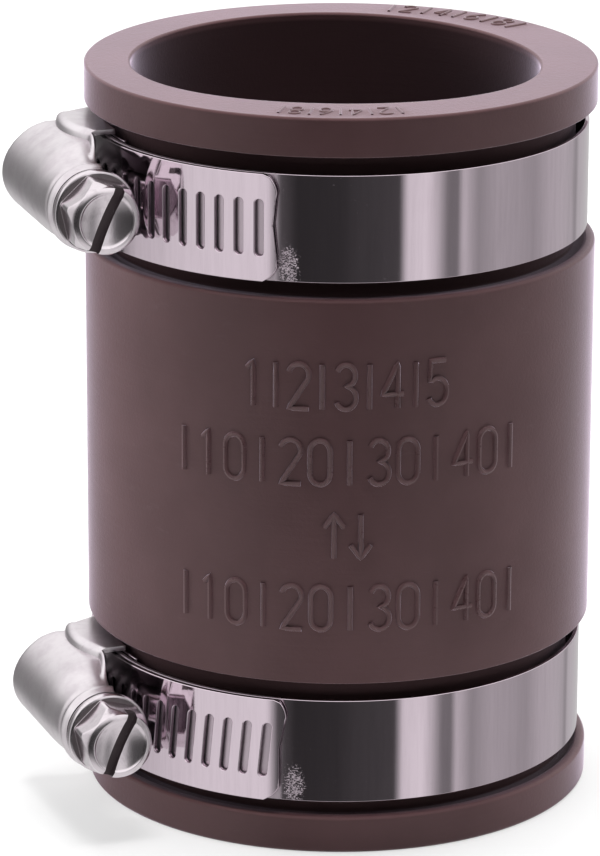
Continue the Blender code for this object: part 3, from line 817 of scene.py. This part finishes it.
# The tail's upper and lower corner: how wide, how tall, and 1 for a straight cut to 2 for an arc
TAIL_CORNERS = {1: (0.0014, 0.0022, 1.55), -1: (0.0016, 0.0018, 1.3)}
TAIL_WAIST = 0.0005
TAIL_WAIST_AT = 0.0003
TAIL_WAIST_REACH = 0.0045
TIP_ROWS = (0.35, 0.62, 0.80, 0.92, 0.98, 1.0)
SLOT_PITCH = 0.00249
SLOT_WIDTH = 0.00105
SLOT_LENGTH = 0.0067
SLOT_COUNT = 22
BAND_EDGE = 0.00013
BAND_SHARP = 60.0
BEND_STEP = 0.0005
BAND_START = math.radians(FIRST_TURN_START) * TAIL_OUTER
BAND_END = math.radians(TAIL_END) * TAIL_OUTER
BEND_CUTS = int((BAND_END - BAND_START) / BEND_STEP)
LAST_SLOT = BAND_END - TAIL_LAND - SLOT_WIDTH / 2
print("strip", round(1000 * (BAND_END - BAND_START), 1), "mm long, with", SLOT_COUNT, "slots")


# %% Punch one slot
SLOT_SEGMENTS = 18
# The ring's points up to 50 degrees round from the slot's side are drawn to the cell's side
SIDE_POINTS = math.sin(math.radians(50.0))
SIDE_SHARE = 0.6


def new_verts(made):
    return [item for item in made["geom"] if isinstance(item, bmesh.types.BMVert)]


def punch_slot_cell(bm):
    """A cell of strip round one slot: a ring of edges, drawn out to the cell's straight sides."""
    bmesh.ops.create_circle(bm, segments=SLOT_SEGMENTS, radius=SLOT_WIDTH / 2)
    straight = (SLOT_LENGTH - SLOT_WIDTH) / 2
    for vert in bm.verts:
        vert.co.y += math.copysign(straight, vert.co.y)
    outer = new_verts(bmesh.ops.extrude_edge_only(bm, edges=bm.edges[:]))
    for vert in outer:
        across = vert.co.x / (SLOT_WIDTH / 2)
        beyond = abs(vert.co.y) - straight
        side = math.copysign(1.0, vert.co.y)
        if abs(across) > SIDE_SHARE:
            vert.co.x = math.copysign(SLOT_PITCH / 2, across)
            share = beyond / (SLOT_WIDTH / 2 * SIDE_POINTS)
            vert.co.y = side * mix(straight - 0.0002, BAND_WIDTH / 2, share**4)
        else:
            vert.co.x = across * SLOT_PITCH / 2
            vert.co.y = side * BAND_WIDTH / 2


print("a slot is", round(1000 * SLOT_LENGTH, 2), "by", round(1000 * SLOT_WIDTH, 2), "mm")


# %% Punch the whole strip
def tip_height(along, side):
    """How far up or down the tail's tip reaches, with its corners cut round."""
    width, height, power = TAIL_CORNERS[side]
    share = max(0.0, 1.0 - (BAND_END - along) / width)
    cut = height * (1.0 - max(0.0, 1.0 - share**power) ** (1.0 / power))
    return side * (BAND_WIDTH / 2 - cut)


def open_edges_at(bm, along):
    return [
        edge
        for edge in bm.edges
        if edge.is_boundary and all(abs(vert.co.x - along) < 1e-6 for vert in edge.verts)
    ]


def punch_strip(bm):
    """The flat strip: its slots, then the tail's tip at one end and the plain strip at the other."""
    punch_slot_cell(bm)
    cell = bm.verts[:] + bm.edges[:] + bm.faces[:]
    for count in range(1, SLOT_COUNT):
        copied = new_verts(bmesh.ops.duplicate(bm, geom=cell))
        bmesh.ops.translate(bm, vec=(-SLOT_PITCH * count, 0.0, 0.0), verts=copied)
    bmesh.ops.remove_doubles(bm, verts=bm.verts, dist=1e-6)
    bmesh.ops.translate(bm, vec=(LAST_SLOT, 0.0, 0.0), verts=bm.verts)

    everything = bm.verts[:] + bm.edges[:] + bm.faces[:]
    bmesh.ops.bisect_plane(
        bm, geom=everything, dist=1e-6, plane_co=(0.0, TAIL_WAIST_AT, 0.0), plane_no=(0, 1, 0)
    )
    tip_start = LAST_SLOT + SLOT_PITCH / 2
    edges = open_edges_at(bm, tip_start)
    for share in TIP_ROWS:
        along = mix(tip_start, BAND_END, share)
        for vert in new_verts(bmesh.ops.extrude_edge_only(bm, edges=edges)):
            vert.co.x = along
        edges = open_edges_at(bm, along)
    for vert in bm.verts:
        x, y = vert.co.x, vert.co.y
        vert.co.y = min(max(y, tip_height(x, -1)), tip_height(x, 1))
        end = max(0.0, (x - tip_start) / (BAND_END - tip_start))
        waist = max(0.0, 1.0 - abs(y - TAIL_WAIST_AT) / TAIL_WAIST_REACH)
        vert.co.x = x - TAIL_WAIST * end * waist
    first = LAST_SLOT - SLOT_PITCH * (SLOT_COUNT - 0.5)
    for vert in new_verts(bmesh.ops.extrude_edge_only(bm, edges=open_edges_at(bm, first))):
        vert.co.x = BAND_START


tip = tip_height(BAND_END, 1) - tip_height(BAND_END, -1)
print("the tail's tip is", round(1000 * tip, 2), "mm tall at its very end")


# %% Thicken the strip
def thicken_strip(bm):
    """Gives the strip its thickness, rounds its edges, and cuts it up so that it can bend."""
    raised = new_verts(bmesh.ops.extrude_face_region(bm, geom=bm.faces[:]))
    bmesh.ops.translate(bm, vec=(0.0, 0.0, BAND_THICKNESS), verts=raised)
    bmesh.ops.recalc_face_normals(bm, faces=bm.faces)
    rims = [edge for edge in bm.edges if edge.calc_face_angle(0.0) > math.radians(60)]
    bmesh.ops.bevel(
        bm, geom=rims, offset=BAND_EDGE, segments=2, profile=0.5, affect="EDGES", material=-1
    )
    for cut in range(1, BEND_CUTS):
        everything = bm.verts[:] + bm.edges[:] + bm.faces[:]
        middle = (BAND_START + cut * BEND_STEP, 0.0, 0.0)
        bmesh.ops.bisect_plane(bm, geom=everything, dist=1e-6, plane_co=middle, plane_no=(1, 0, 0))
    bm.normal_update()


print("the strip is cut up", round(1000 * BEND_STEP, 2), "mm apart, so that it can bend")

# %% Bend the strip
# The painted shade beside the housing: where it starts, is full, begins to fade and ends, in degrees
SHADE_STARTS = (352.0, 356.0)
SHADE_ENDS = (370.0, 378.0)
# Cosines: faces this alike count as near, and a face is a flat or an edge's wall past these
NEAR_FACES = 0.64
FLAT_FACE = 0.99
WALL_FACE = 0.1


def place_on_coil(along, height, rise, lean):
    """A point of the flat strip, bent round the coil. Length is measured at the tail's outer face."""
    angle = math.degrees(along / TAIL_OUTER)
    inner = mix(BAND_INNER, TAIL_INNER, smooth_step(angle, RISE_START, RISE_END))
    radius = inner + rise
    bend = (along + smooth_step(angle, RISE_END, 360.0) * lean * height) / TAIL_OUTER
    return Vector((radius * math.cos(bend), radius * math.sin(bend), height))


def strip_normal(loop):
    """What a corner of the flat strip faces. Flats and edges set it, and roundings lie between."""
    facing = loop.face.normal
    near = [face for face in loop.vert.link_faces if face.normal.dot(facing) > NEAR_FACES]
    flats = [face for face in near if abs(face.normal.z) > FLAT_FACE]
    walls = [face for face in near if abs(face.normal.z) < WALL_FACE]
    total = Vector()
    for face in flats or walls or near or [loop.face]:
        total += face.normal
    return total.normalized()


def bend_normal(spot, normal, lean):
    """A direction on the flat strip, bent with the strip at this spot."""
    along, height, rise = spot
    ahead = place_on_coil(along + BEND_STEP / 10, height, rise, lean)
    behind = place_on_coil(along - BEND_STEP / 10, height, rise, lean)
    forward = (ahead - behind).normalized()
    above = Vector((0.0, 0.0, 1.0))
    return normal.x * forward + normal.y * above + normal.z * forward.cross(above)


def bend_strip(bm, lean):
    """Bends the strip, and notes where its tail covers it and where shade is painted on it."""
    covered = bm.verts.layers.float.new("covered")
    grease = bm.verts.layers.float.new("grease")
    for vert in bm.verts:
        angle = math.degrees(vert.co.x / TAIL_OUTER)
        vert[covered] = 1.0 - smooth_step(angle, TAIL_END - 360.6, TAIL_END - 360.2)
        beside_housing = smooth_step(angle, *SHADE_STARTS) - smooth_step(angle, *SHADE_ENDS)
        vert[grease] = 1.0 if vert.co.z < BAND_EDGE / 2 else beside_housing
        vert.co = place_on_coil(*vert.co, lean)


print("the tail ends", round(1000 * place_on_coil(BAND_END, 0.0, 0.0, 0.0).length, 2), "mm from the axis")

# %% Make the bands
def make_band(prefix, lean):
    bm = bmesh.new()
    punch_strip(bm)
    thicken_strip(bm)
    place = clamp_frame(prefix)
    turned = place.to_3x3()
    shading = [
        turned @ bend_normal(loop.vert.co, strip_normal(loop), lean)
        for face in bm.faces
        for loop in face.loops
    ]
    bend_strip(bm, lean)
    name = prefix + "_rolled_band"
    body = prefix + "_clamp"
    nodes = [prefix + "_band"]
    band = finish_piece(name, bm, band_steel, body, nodes, place, BAND_SHARP)
    band.data.normals_split_custom_set(shading)


for prefix, (slide, lean) in CLAMPS.items():
    make_band(prefix, lean)

# %% [markdown]
# ## The screws
# The real screw is cold headed: a hexagon with a collar behind it, and a shallow dish in its
# front. It could be a six-sided cylinder, but that has no round chamfer. So a round blank is spun
# from an outline, and each of its points is held back to the hexagon's side, which leaves the
# chamfer's true curves on the flats. A Boolean mills the drive slot. The thread is a small
# section spun with a rise in each step.

# %% Sizes of the head
EAR_FRONT = 0.0020
NECK_RADIUS = 0.0022
HEX_ACROSS_FLATS = 0.00794
HEX_CORNER_RADIUS = HEX_ACROSS_FLATS / 2 + 0.00053
COLLAR_FREE = 0.0009
HEX_HEIGHT = 0.00435
HEX_TURN = 17.5
COLLAR_RADIUS = HEX_CORNER_RADIUS + 0.0004
COLLAR_THICKNESS = 0.00125
BACK_ROUND = 0.00025
FRONT_ROUND = 0.00030
RING_FALL = 0.00022
RECESS_RADIUS = 0.0032
RECESS_STEP = 0.0001
CHAMFER_LENGTH = 0.0017
FRONT_RADIUS = 0.00393
DISH_DEPTH = 0.00042
FLAT_FILLET = 0.00012
SCREW_STEPS = 180

# The collar starts a little beyond the place where the coil has curved away from under it
collar_underside = SCREW_AXIS - COLLAR_RADIUS
COLLAR_BACK = math.sqrt((TAIL_OUTER + SEAT) ** 2 - collar_underside**2) + COLLAR_FREE
COLLAR_FRONT = COLLAR_BACK + COLLAR_THICKNESS
HEAD_FRONT = COLLAR_FRONT + HEX_HEIGHT
DISH_FLOOR = HEAD_FRONT - RECESS_STEP - DISH_DEPTH
print("the head's front is", round(1000 * HEAD_FRONT, 2), "mm along the screw")


# %% Mill the hexagon
def hex_side(turn, height):
    """From the axis to the hexagon's side, which meets the collar in a fillet."""
    from_flat = math.radians((math.degrees(turn) + HEX_TURN) % 60.0 - 30.0)
    low = max(0.0, 1.0 - (height - COLLAR_FRONT) / FLAT_FILLET)
    fillet = FLAT_FILLET * (1.0 - math.sqrt(1.0 - low * low))
    return min((HEX_ACROSS_FLATS / 2 + fillet) / math.cos(from_flat), HEX_CORNER_RADIUS + fillet)


flat = hex_side(math.radians(30.0 - HEX_TURN), HEAD_FRONT)
print("hexagon", round(2000 * flat, 2), "mm across flats")


# %% Turn the head's blank
SIDE_ROWS = 20
CHAMFER_ROWS = 16
RING_ROWS = 8
DISH_ROWS = 12


def draw_wire(bm, points):
    verts = [bm.verts.new((radius, 0.0, height)) for radius, height in points]
    for first, second in zip(verts, verts[1:]):
        bm.edges.new((first, second))


def make_head(bm):
    """The neck, collar and hex head of the screw, with its recessed front."""
    outline = [
        (0.0, EAR_FRONT),
        (NECK_RADIUS, EAR_FRONT),
        (NECK_RADIUS, COLLAR_BACK),
        (COLLAR_RADIUS - BACK_ROUND, COLLAR_BACK),
        (COLLAR_RADIUS - 0.00007, COLLAR_BACK + 0.00007),
        (COLLAR_RADIUS, COLLAR_BACK + BACK_ROUND),
        (COLLAR_RADIUS, COLLAR_FRONT - FRONT_ROUND),
        (COLLAR_RADIUS - 0.00008, COLLAR_FRONT - 0.00009),
        (COLLAR_RADIUS - FRONT_ROUND, COLLAR_FRONT),
    ]
    chamfer_start = HEAD_FRONT - CHAMFER_LENGTH
    for row in range(SIDE_ROWS + 1):
        share = (row / SIDE_ROWS) ** 1.5
        outline.append((COLLAR_RADIUS - 0.0001, mix(COLLAR_FRONT + 0.00001, chamfer_start, share)))
    edge = HEAD_FRONT - RING_FALL
    for row in range(1, CHAMFER_ROWS + 1):
        share = row / CHAMFER_ROWS
        reach = mix(FRONT_RADIUS, HEX_CORNER_RADIUS + 0.00004, (1.0 - share) ** 1.6)
        outline.append((reach, mix(chamfer_start, edge, share)))
    for row in range(1, RING_ROWS + 1):
        share = 1.0 - row / RING_ROWS
        reach = mix(RECESS_RADIUS + 0.00006, FRONT_RADIUS, share)
        outline.append((reach, HEAD_FRONT - RING_FALL * share**1.5))
    step = HEAD_FRONT - RECESS_STEP
    outline += [(RECESS_RADIUS, HEAD_FRONT - 0.00002), (RECESS_RADIUS - 0.00008, step)]
    for row in range(1, DISH_ROWS + 1):
        share = 1.0 - row / DISH_ROWS
        outline.append(((RECESS_RADIUS - 0.0001) * share, step - DISH_DEPTH * (1.0 - share**2)))
    draw_wire(bm, outline)
    spin_round(bm, SCREW_STEPS)
    for vert in bm.verts:
        if vert.co.z > COLLAR_FRONT + 1e-6:
            radius = math.hypot(vert.co.x, vert.co.y)
            if radius > FRONT_RADIUS - 0.00005:
                side = hex_side(math.atan2(vert.co.y, vert.co.x), vert.co.z)
                vert.co.xy *= min(1.0, side / radius)


print("collar", round(2000 * COLLAR_RADIUS, 2), "mm across")

# %% Cut the thread
WORM_START = -0.0086
WORM_END = EAR_FRONT + 0.0025
CORE_RADIUS = THREAD_RADIUS - 0.00075
THREAD_ROOT = 0.0002
THREAD_FOOT = 0.34 * SLOT_PITCH
THREAD_CREST = 0.13 * SLOT_PITCH
THREAD_STEPS = 48
# The thread runs out a little before the worm's end
THREAD_TURNS = (WORM_END - WORM_START) / SLOT_PITCH - 0.6


def make_worm(bm):
    """One right-hand thread: a small section, spun with a rise in each step."""
    steps = int(THREAD_STEPS * THREAD_TURNS)
    section = [
        (CORE_RADIUS - THREAD_ROOT, -THREAD_FOOT),
        (CORE_RADIUS, -THREAD_FOOT),
        (THREAD_RADIUS, -THREAD_CREST),
        (THREAD_RADIUS, THREAD_CREST),
        (CORE_RADIUS, THREAD_FOOT),
        (CORE_RADIUS - THREAD_ROOT, THREAD_FOOT),
    ]
    start = WORM_START + THREAD_FOOT
    face = bm.faces.new([bm.verts.new((radius, 0.0, start + height)) for radius, height in section])
    bmesh.ops.spin(
        bm,
        geom=[face],
        axis=(0, 0, 1),
        cent=(0, 0, 0),
        dvec=(0.0, 0.0, SLOT_PITCH / THREAD_STEPS),
        steps=steps,
        angle=2 * math.pi * steps / THREAD_STEPS,
        use_merge=False,
    )
    bmesh.ops.recalc_face_normals(bm, faces=bm.faces)


def make_core(bm):
    """The plain core that the thread stands on."""
    outline = [(0.0, WORM_START), (CORE_RADIUS, WORM_START), (CORE_RADIUS, WORM_END), (0.0, WORM_END)]
    draw_wire(bm, outline)
    spin_round(bm, THREAD_STEPS)


print("thread:", round(THREAD_TURNS, 2), "turns")

# %% Mill the drive slot
DRIVE_SLOT_WIDTH = 0.00125
DRIVE_SLOT_DEPTH = 0.0012
DRIVE_SLOT_TURN = 114.3


def cut_drive_slot(mesh):
    """Mills the straight drive slot across the head, and marks where shade is painted."""
    blank = bpy.data.objects.new("blank", mesh)
    bm = bmesh.new()
    bmesh.ops.create_cube(bm, size=1.0)
    size = (4 * COLLAR_RADIUS, DRIVE_SLOT_WIDTH, 2 * DRIVE_SLOT_DEPTH)
    bmesh.ops.scale(bm, vec=size, verts=bm.verts)
    cutter_mesh = mesh_from(bm, "cutter")
    turn = Matrix.Rotation(math.radians(-DRIVE_SLOT_TURN), 4, "Z")
    cutter_mesh.transform(Matrix.Translation((0.0, 0.0, HEAD_FRONT)) @ turn)
    cutter = bpy.data.objects.new("cutter", cutter_mesh)
    for helper in (blank, cutter):
        bpy.context.scene.collection.objects.link(helper)
    cut = blank.modifiers.new("drive slot", "BOOLEAN")
    cut.operation = "DIFFERENCE"
    cut.solver = "EXACT"
    cut.object = cutter
    bpy.context.view_layer.update()
    graph = bpy.context.evaluated_depsgraph_get()
    milled = bpy.data.meshes.new_from_object(blank.evaluated_get(graph))
    for helper in (blank, cutter):
        bpy.data.objects.remove(helper)
    turn = math.radians(DRIVE_SLOT_TURN)
    across = Vector((math.sin(turn), math.cos(turn), 0.0))
    # Where shade is painted: fully on the slot's sunk faces, and at 0.9 on the collar's front face.
    grime = milled.attributes.new("grime", "FLOAT", "FACE")
    for face in milled.polygons:
        inside = abs(face.center.dot(across)) < DRIVE_SLOT_WIDTH / 2 + 0.00001
        sunk = COLLAR_FRONT + 0.002 < face.center.z < DISH_FLOOR - 0.00005
        on_collar = abs(face.center.z - COLLAR_FRONT) < 0.00003 and face.normal.z > 0.8
        grime.data[face.index].value = 1.0 if inside and sunk else 0.9 * on_collar
    return milled


print("the drive slot is turned by", DRIVE_SLOT_TURN, "degrees")


# %% Make the screws
def make_screw(prefix, slide):
    blank = bmesh.new()
    make_head(blank)
    bm = bmesh.new()
    bm.from_mesh(cut_drive_slot(mesh_from(blank, "head")))
    for make in (make_worm, make_core):
        extra = bmesh.new()
        make(extra)
        mesh = mesh_from(extra, "extra")
        bm.from_mesh(mesh)
        bpy.data.meshes.remove(mesh)
    lie_down = Matrix.Translation((SCREW_AXIS, slide, 0.0)) @ Matrix.Rotation(math.radians(-90.0), 4, "X")
    place = clamp_frame(prefix) @ lie_down
    name = prefix + "_headed_screw"
    body = prefix + "_screw"
    screw = finish_piece(name, bm, screw_steel, body, [prefix + "_screw"], place)
    round_edges(screw, 0.00005, 1)
    even_shading(screw)


for prefix, (slide, lean) in CLAMPS.items():
    make_screw(prefix, slide)

# %% [markdown]
# ## The screw housings
# A housing is pressed from one sheet: a dome over the worm, a nose that closes round the screw
# behind its collar, and an ear on each side that holds the band's edges. It could be joined from
# a tube and two plates, but pressed sheet flows from one form into the next. So a flat grid is
# shaped point by point by the housing's section, which changes along the screw, and Solidify
# gives the sheet the same thickness everywhere.

# %% Sizes of a housing
SHEET = 0.0006
EAR_PLAY = 0.00025
SIDE_ROOM = 0.00215
ROOF_ROOM = 0.0013
EAR_HALF_WIDTH = BAND_WIDTH / 2 + EAR_PLAY + SHEET
SIDE_HALF_WIDTH = THREAD_RADIUS + SIDE_ROOM + SHEET
ROOF_HEIGHT = THREAD_RADIUS + ROOF_ROOM + SHEET
ARCH_FLARE = 0.00074
ARCH_SPRING = 0.00465
DOME_REAR = -0.0096
REAR_NOTCH = 0.0010
EAR_REAR = -0.0103
EAR_CORNER = 0.0022
EAR_STEP_RISE = 0.0030
EAR_STEP_FALL = 0.0016
EAR_STEP_DROP = 0.0009
SHOULDER_LEAD = -0.4
SHOULDER_SHARE = 0.1
NOSE_HUG = 105.0
BEAD_HEIGHT = 0.00024
BEAD_LENGTH = 0.0010
VALLEY_DEPTH = 0.00016
VALLEY_LENGTH = 0.0008
LIP_DROP = 0.00015
LIP_AT = COLLAR_BACK - SEAT
BEAD_AT = LIP_AT - BEAD_LENGTH
NOSE_RADIUS = COLLAR_RADIUS + 0.00005
print("housing", round(2000 * EAR_HALF_WIDTH, 2), "mm wide over its ears")

# %% Rows and columns of the sheet
# Columns of the half section: over the arch, down the side to the end of the nose's hug, out
# over the ear's shoulder, and down the ear. Rows: along the dome, and along the nose.
ARCH_COLUMNS = 18
HUG_COLUMNS = 6
SHOULDER_COLUMNS = 10
EAR_COLUMNS = 6
BODY_ROWS = 30
NOSE_ROWS = 34
NOSE_EDGE = ARCH_COLUMNS + HUG_COLUMNS
LAST_COLUMN = NOSE_EDGE + SHOULDER_COLUMNS + EAR_COLUMNS
print("sheet:", 2 * LAST_COLUMN, "columns and", BODY_ROWS + NOSE_ROWS, "rows")


# %% The dome, the nose and the shoulder
def arch_reach(angle):
    """From the screw's axis to the dome's outer face: half an ellipse between upright sides."""
    height = ARCH_SPRING + ROOF_HEIGHT
    half_width = SIDE_HALF_WIDTH + ARCH_FLARE
    cosine, sine = math.cos(angle), math.sin(angle)
    square = (cosine / height) ** 2 + (sine / half_width) ** 2
    linear = ARCH_SPRING * cosine / height**2
    constant = (ARCH_SPRING / height) ** 2 - 1.0
    reach = (math.sqrt(linear**2 - square * constant) - linear) / square
    return min(reach, SIDE_HALF_WIDTH / max(sine, 1e-6))


def nose_reach(along):
    """From the screw's axis to the nose's outer face: a valley, a bead, and the lip by the collar."""
    valley = 1.0 - smooth_step(abs(along - BEAD_AT + BEAD_LENGTH), 0.0, VALLEY_LENGTH)
    bead = 1.0 - smooth_step(abs(along - BEAD_AT), 0.0, BEAD_LENGTH)
    lip = smooth_step(along, BEAD_AT, LIP_AT)
    return NOSE_RADIUS - VALLEY_DEPTH * valley + BEAD_HEIGHT * bead - LIP_DROP * lip


def shoulder_point(step_at, drop):
    """A point of the soft step out to the ear, by its share of the step's drop."""
    way = math.sqrt(max(0.0, 1.0 - ((1.0 - drop) / (1.0 - SHOULDER_LEAD)) ** 2))
    sideways = mix(SIDE_HALF_WIDTH, EAR_HALF_WIDTH, way)
    return step_at - drop * EAR_STEP_DROP, sideways


print("the dome's top is", round(1000 * (SCREW_AXIS + arch_reach(0.0)), 2), "mm from the sleeve's axis")


# %% Each point of the sheet
def section_point(column, along, slide):
    """The housing's outer face at a column and a place along the screw, as (out, sideways)."""
    share = smooth_step(along, EAR_FRONT, BEAD_AT - BEAD_LENGTH)
    if column <= ARCH_COLUMNS:
        angle = math.pi / 2 * column / ARCH_COLUMNS
        reach = mix(arch_reach(angle), nose_reach(along), share)
        return SCREW_AXIS + reach * math.cos(angle), reach * math.sin(angle)
    bow = (2 * along - EAR_FRONT - EAR_REAR) / (EAR_FRONT - EAR_REAR)
    step_at = TAIL_OUTER + EAR_STEP_RISE - EAR_STEP_FALL * min(bow * bow, 1.0)
    if column <= NOSE_EDGE:
        down = (column - ARCH_COLUMNS) / HUG_COLUMNS
        drop = mix(SHOULDER_LEAD, SHOULDER_SHARE, min(1.0, max(0.0, 2 * down - 1)))
        out, sideways = shoulder_point(step_at, drop)
        if down < 0.5:
            out = mix(SCREW_AXIS, out, 2 * down)
        angle = math.radians(mix(90.0, NOSE_HUG, down))
        reach = nose_reach(along)
        return (
            mix(out, SCREW_AXIS + reach * math.cos(angle), share),
            mix(sideways, reach * math.sin(angle), share),
        )
    if column <= NOSE_EDGE + SHOULDER_COLUMNS:
        return shoulder_point(step_at, mix(SHOULDER_SHARE, 1.0, (column - NOSE_EDGE) / SHOULDER_COLUMNS))
    down = (column - NOSE_EDGE - SHOULDER_COLUMNS) / EAR_COLUMNS
    out = shoulder_point(step_at, 1.0)[0]
    foot = math.sqrt(SADDLE_OUTER**2 - (along + slide) ** 2)
    return mix(out, foot, down), EAR_HALF_WIDTH


def rear_edge(column):
    """Where the sheet ends behind, for each column."""
    if column <= NOSE_EDGE:
        return DOME_REAR + REAR_NOTCH * smooth_step(column, ARCH_COLUMNS - 4, ARCH_COLUMNS + 2)
    ear_top = EAR_REAR + EAR_CORNER
    if column <= NOSE_EDGE + SHOULDER_COLUMNS:
        return mix(DOME_REAR + REAR_NOTCH, ear_top, (column - NOSE_EDGE) / SHOULDER_COLUMNS)
    return mix(ear_top, EAR_REAR, (column - NOSE_EDGE - SHOULDER_COLUMNS) / EAR_COLUMNS)


print("the ears end", round(-1000 * rear_edge(LAST_COLUMN), 2), "mm behind the clamp's middle")


# %% Make the housings
def make_housing(prefix, slide):
    columns = 2 * LAST_COLUMN
    rows = BODY_ROWS + NOSE_ROWS
    bm = bmesh.new()
    bmesh.ops.create_grid(bm, x_segments=columns, y_segments=rows, size=1.0)
    places = {}
    for vert in bm.verts:
        column = round((vert.co.x + 1.0) / 2.0 * columns) - LAST_COLUMN
        row = round((vert.co.y + 1.0) / 2.0 * rows)
        places[vert] = (column, row)
    beyond = [
        face
        for face in bm.faces
        if max(places[vert][1] for vert in face.verts) > BODY_ROWS
        and max(abs(places[vert][0]) for vert in face.verts) > NOSE_EDGE
    ]
    bmesh.ops.delete(bm, geom=beyond, context="FACES")
    for vert in bm.verts:
        column, row = places[vert]
        if row <= BODY_ROWS:
            along = mix(rear_edge(abs(column)), EAR_FRONT, row / BODY_ROWS)
        else:
            along = mix(EAR_FRONT, LIP_AT, (row - BODY_ROWS) / NOSE_ROWS)
        out, sideways = section_point(abs(column), along, slide)
        vert.co = (out, along + slide, math.copysign(sideways, column) if column else 0.0)
    bmesh.ops.recalc_face_normals(bm, faces=bm.faces)
    top = max(bm.faces, key=lambda face: face.calc_center_median().x)
    if top.normal.x < 0:
        bmesh.ops.reverse_faces(bm, faces=bm.faces)
    name = prefix + "_pressed_housing"
    nodes = [prefix + "_housing"]
    place = clamp_frame(prefix)
    housing = finish_piece(name, bm, sheet_steel, prefix + "_clamp", nodes, place)
    sheet = housing.modifiers.new("sheet", "SOLIDIFY")
    sheet.thickness = SHEET
    sheet.offset = -1.0
    sheet.use_even_offset = True
    sheet.use_quality_normals = True
    round_edges(housing, SHEET / 5)
    even_shading(housing)


for prefix, (slide, lean) in CLAMPS.items():
    make_housing(prefix, slide)

# %% [markdown]
# ## The saddles
# Under each housing a thin curved plate lies between the band and the rubber. Only its edge
# shows. It could be a grid bent round, but a section of it spun through a few degrees is already
# solid and round, and a bevel takes the sharpness off its edges.

# %% Make the saddles
SADDLE_INSET = 0.0006
SADDLE_TONGUE = 0.0025
SADDLE_STEPS = 40


def make_saddle(prefix, slide):
    start = math.asin((EAR_REAR + SADDLE_INSET + slide) / SADDLE_INNER)
    end = math.asin((EAR_FRONT + SADDLE_TONGUE + slide) / SADDLE_INNER)
    bm = bmesh.new()
    corners = []
    half = BAND_WIDTH / 2
    outline = ((SADDLE_INNER, -half), (SADDLE_OUTER, -half), (SADDLE_OUTER, half), (SADDLE_INNER, half))
    for radius, height in outline:
        corners.append(bm.verts.new((radius * math.cos(start), radius * math.sin(start), height)))
    section = bm.faces.new(corners)
    spun = {"axis": (0, 0, 1), "cent": (0, 0, 0), "steps": SADDLE_STEPS, "angle": end - start}
    bmesh.ops.spin(bm, geom=[section], **spun)
    bmesh.ops.recalc_face_normals(bm, faces=bm.faces)
    name = prefix + "_curved_saddle"
    nodes = [prefix + "_saddle"]
    place = clamp_frame(prefix)
    saddle = finish_piece(name, bm, band_steel, prefix + "_clamp", nodes, place)
    round_edges(saddle, 0.0001)
    even_shading(saddle)


for prefix, (slide, lean) in CLAMPS.items():
    make_saddle(prefix, slide)
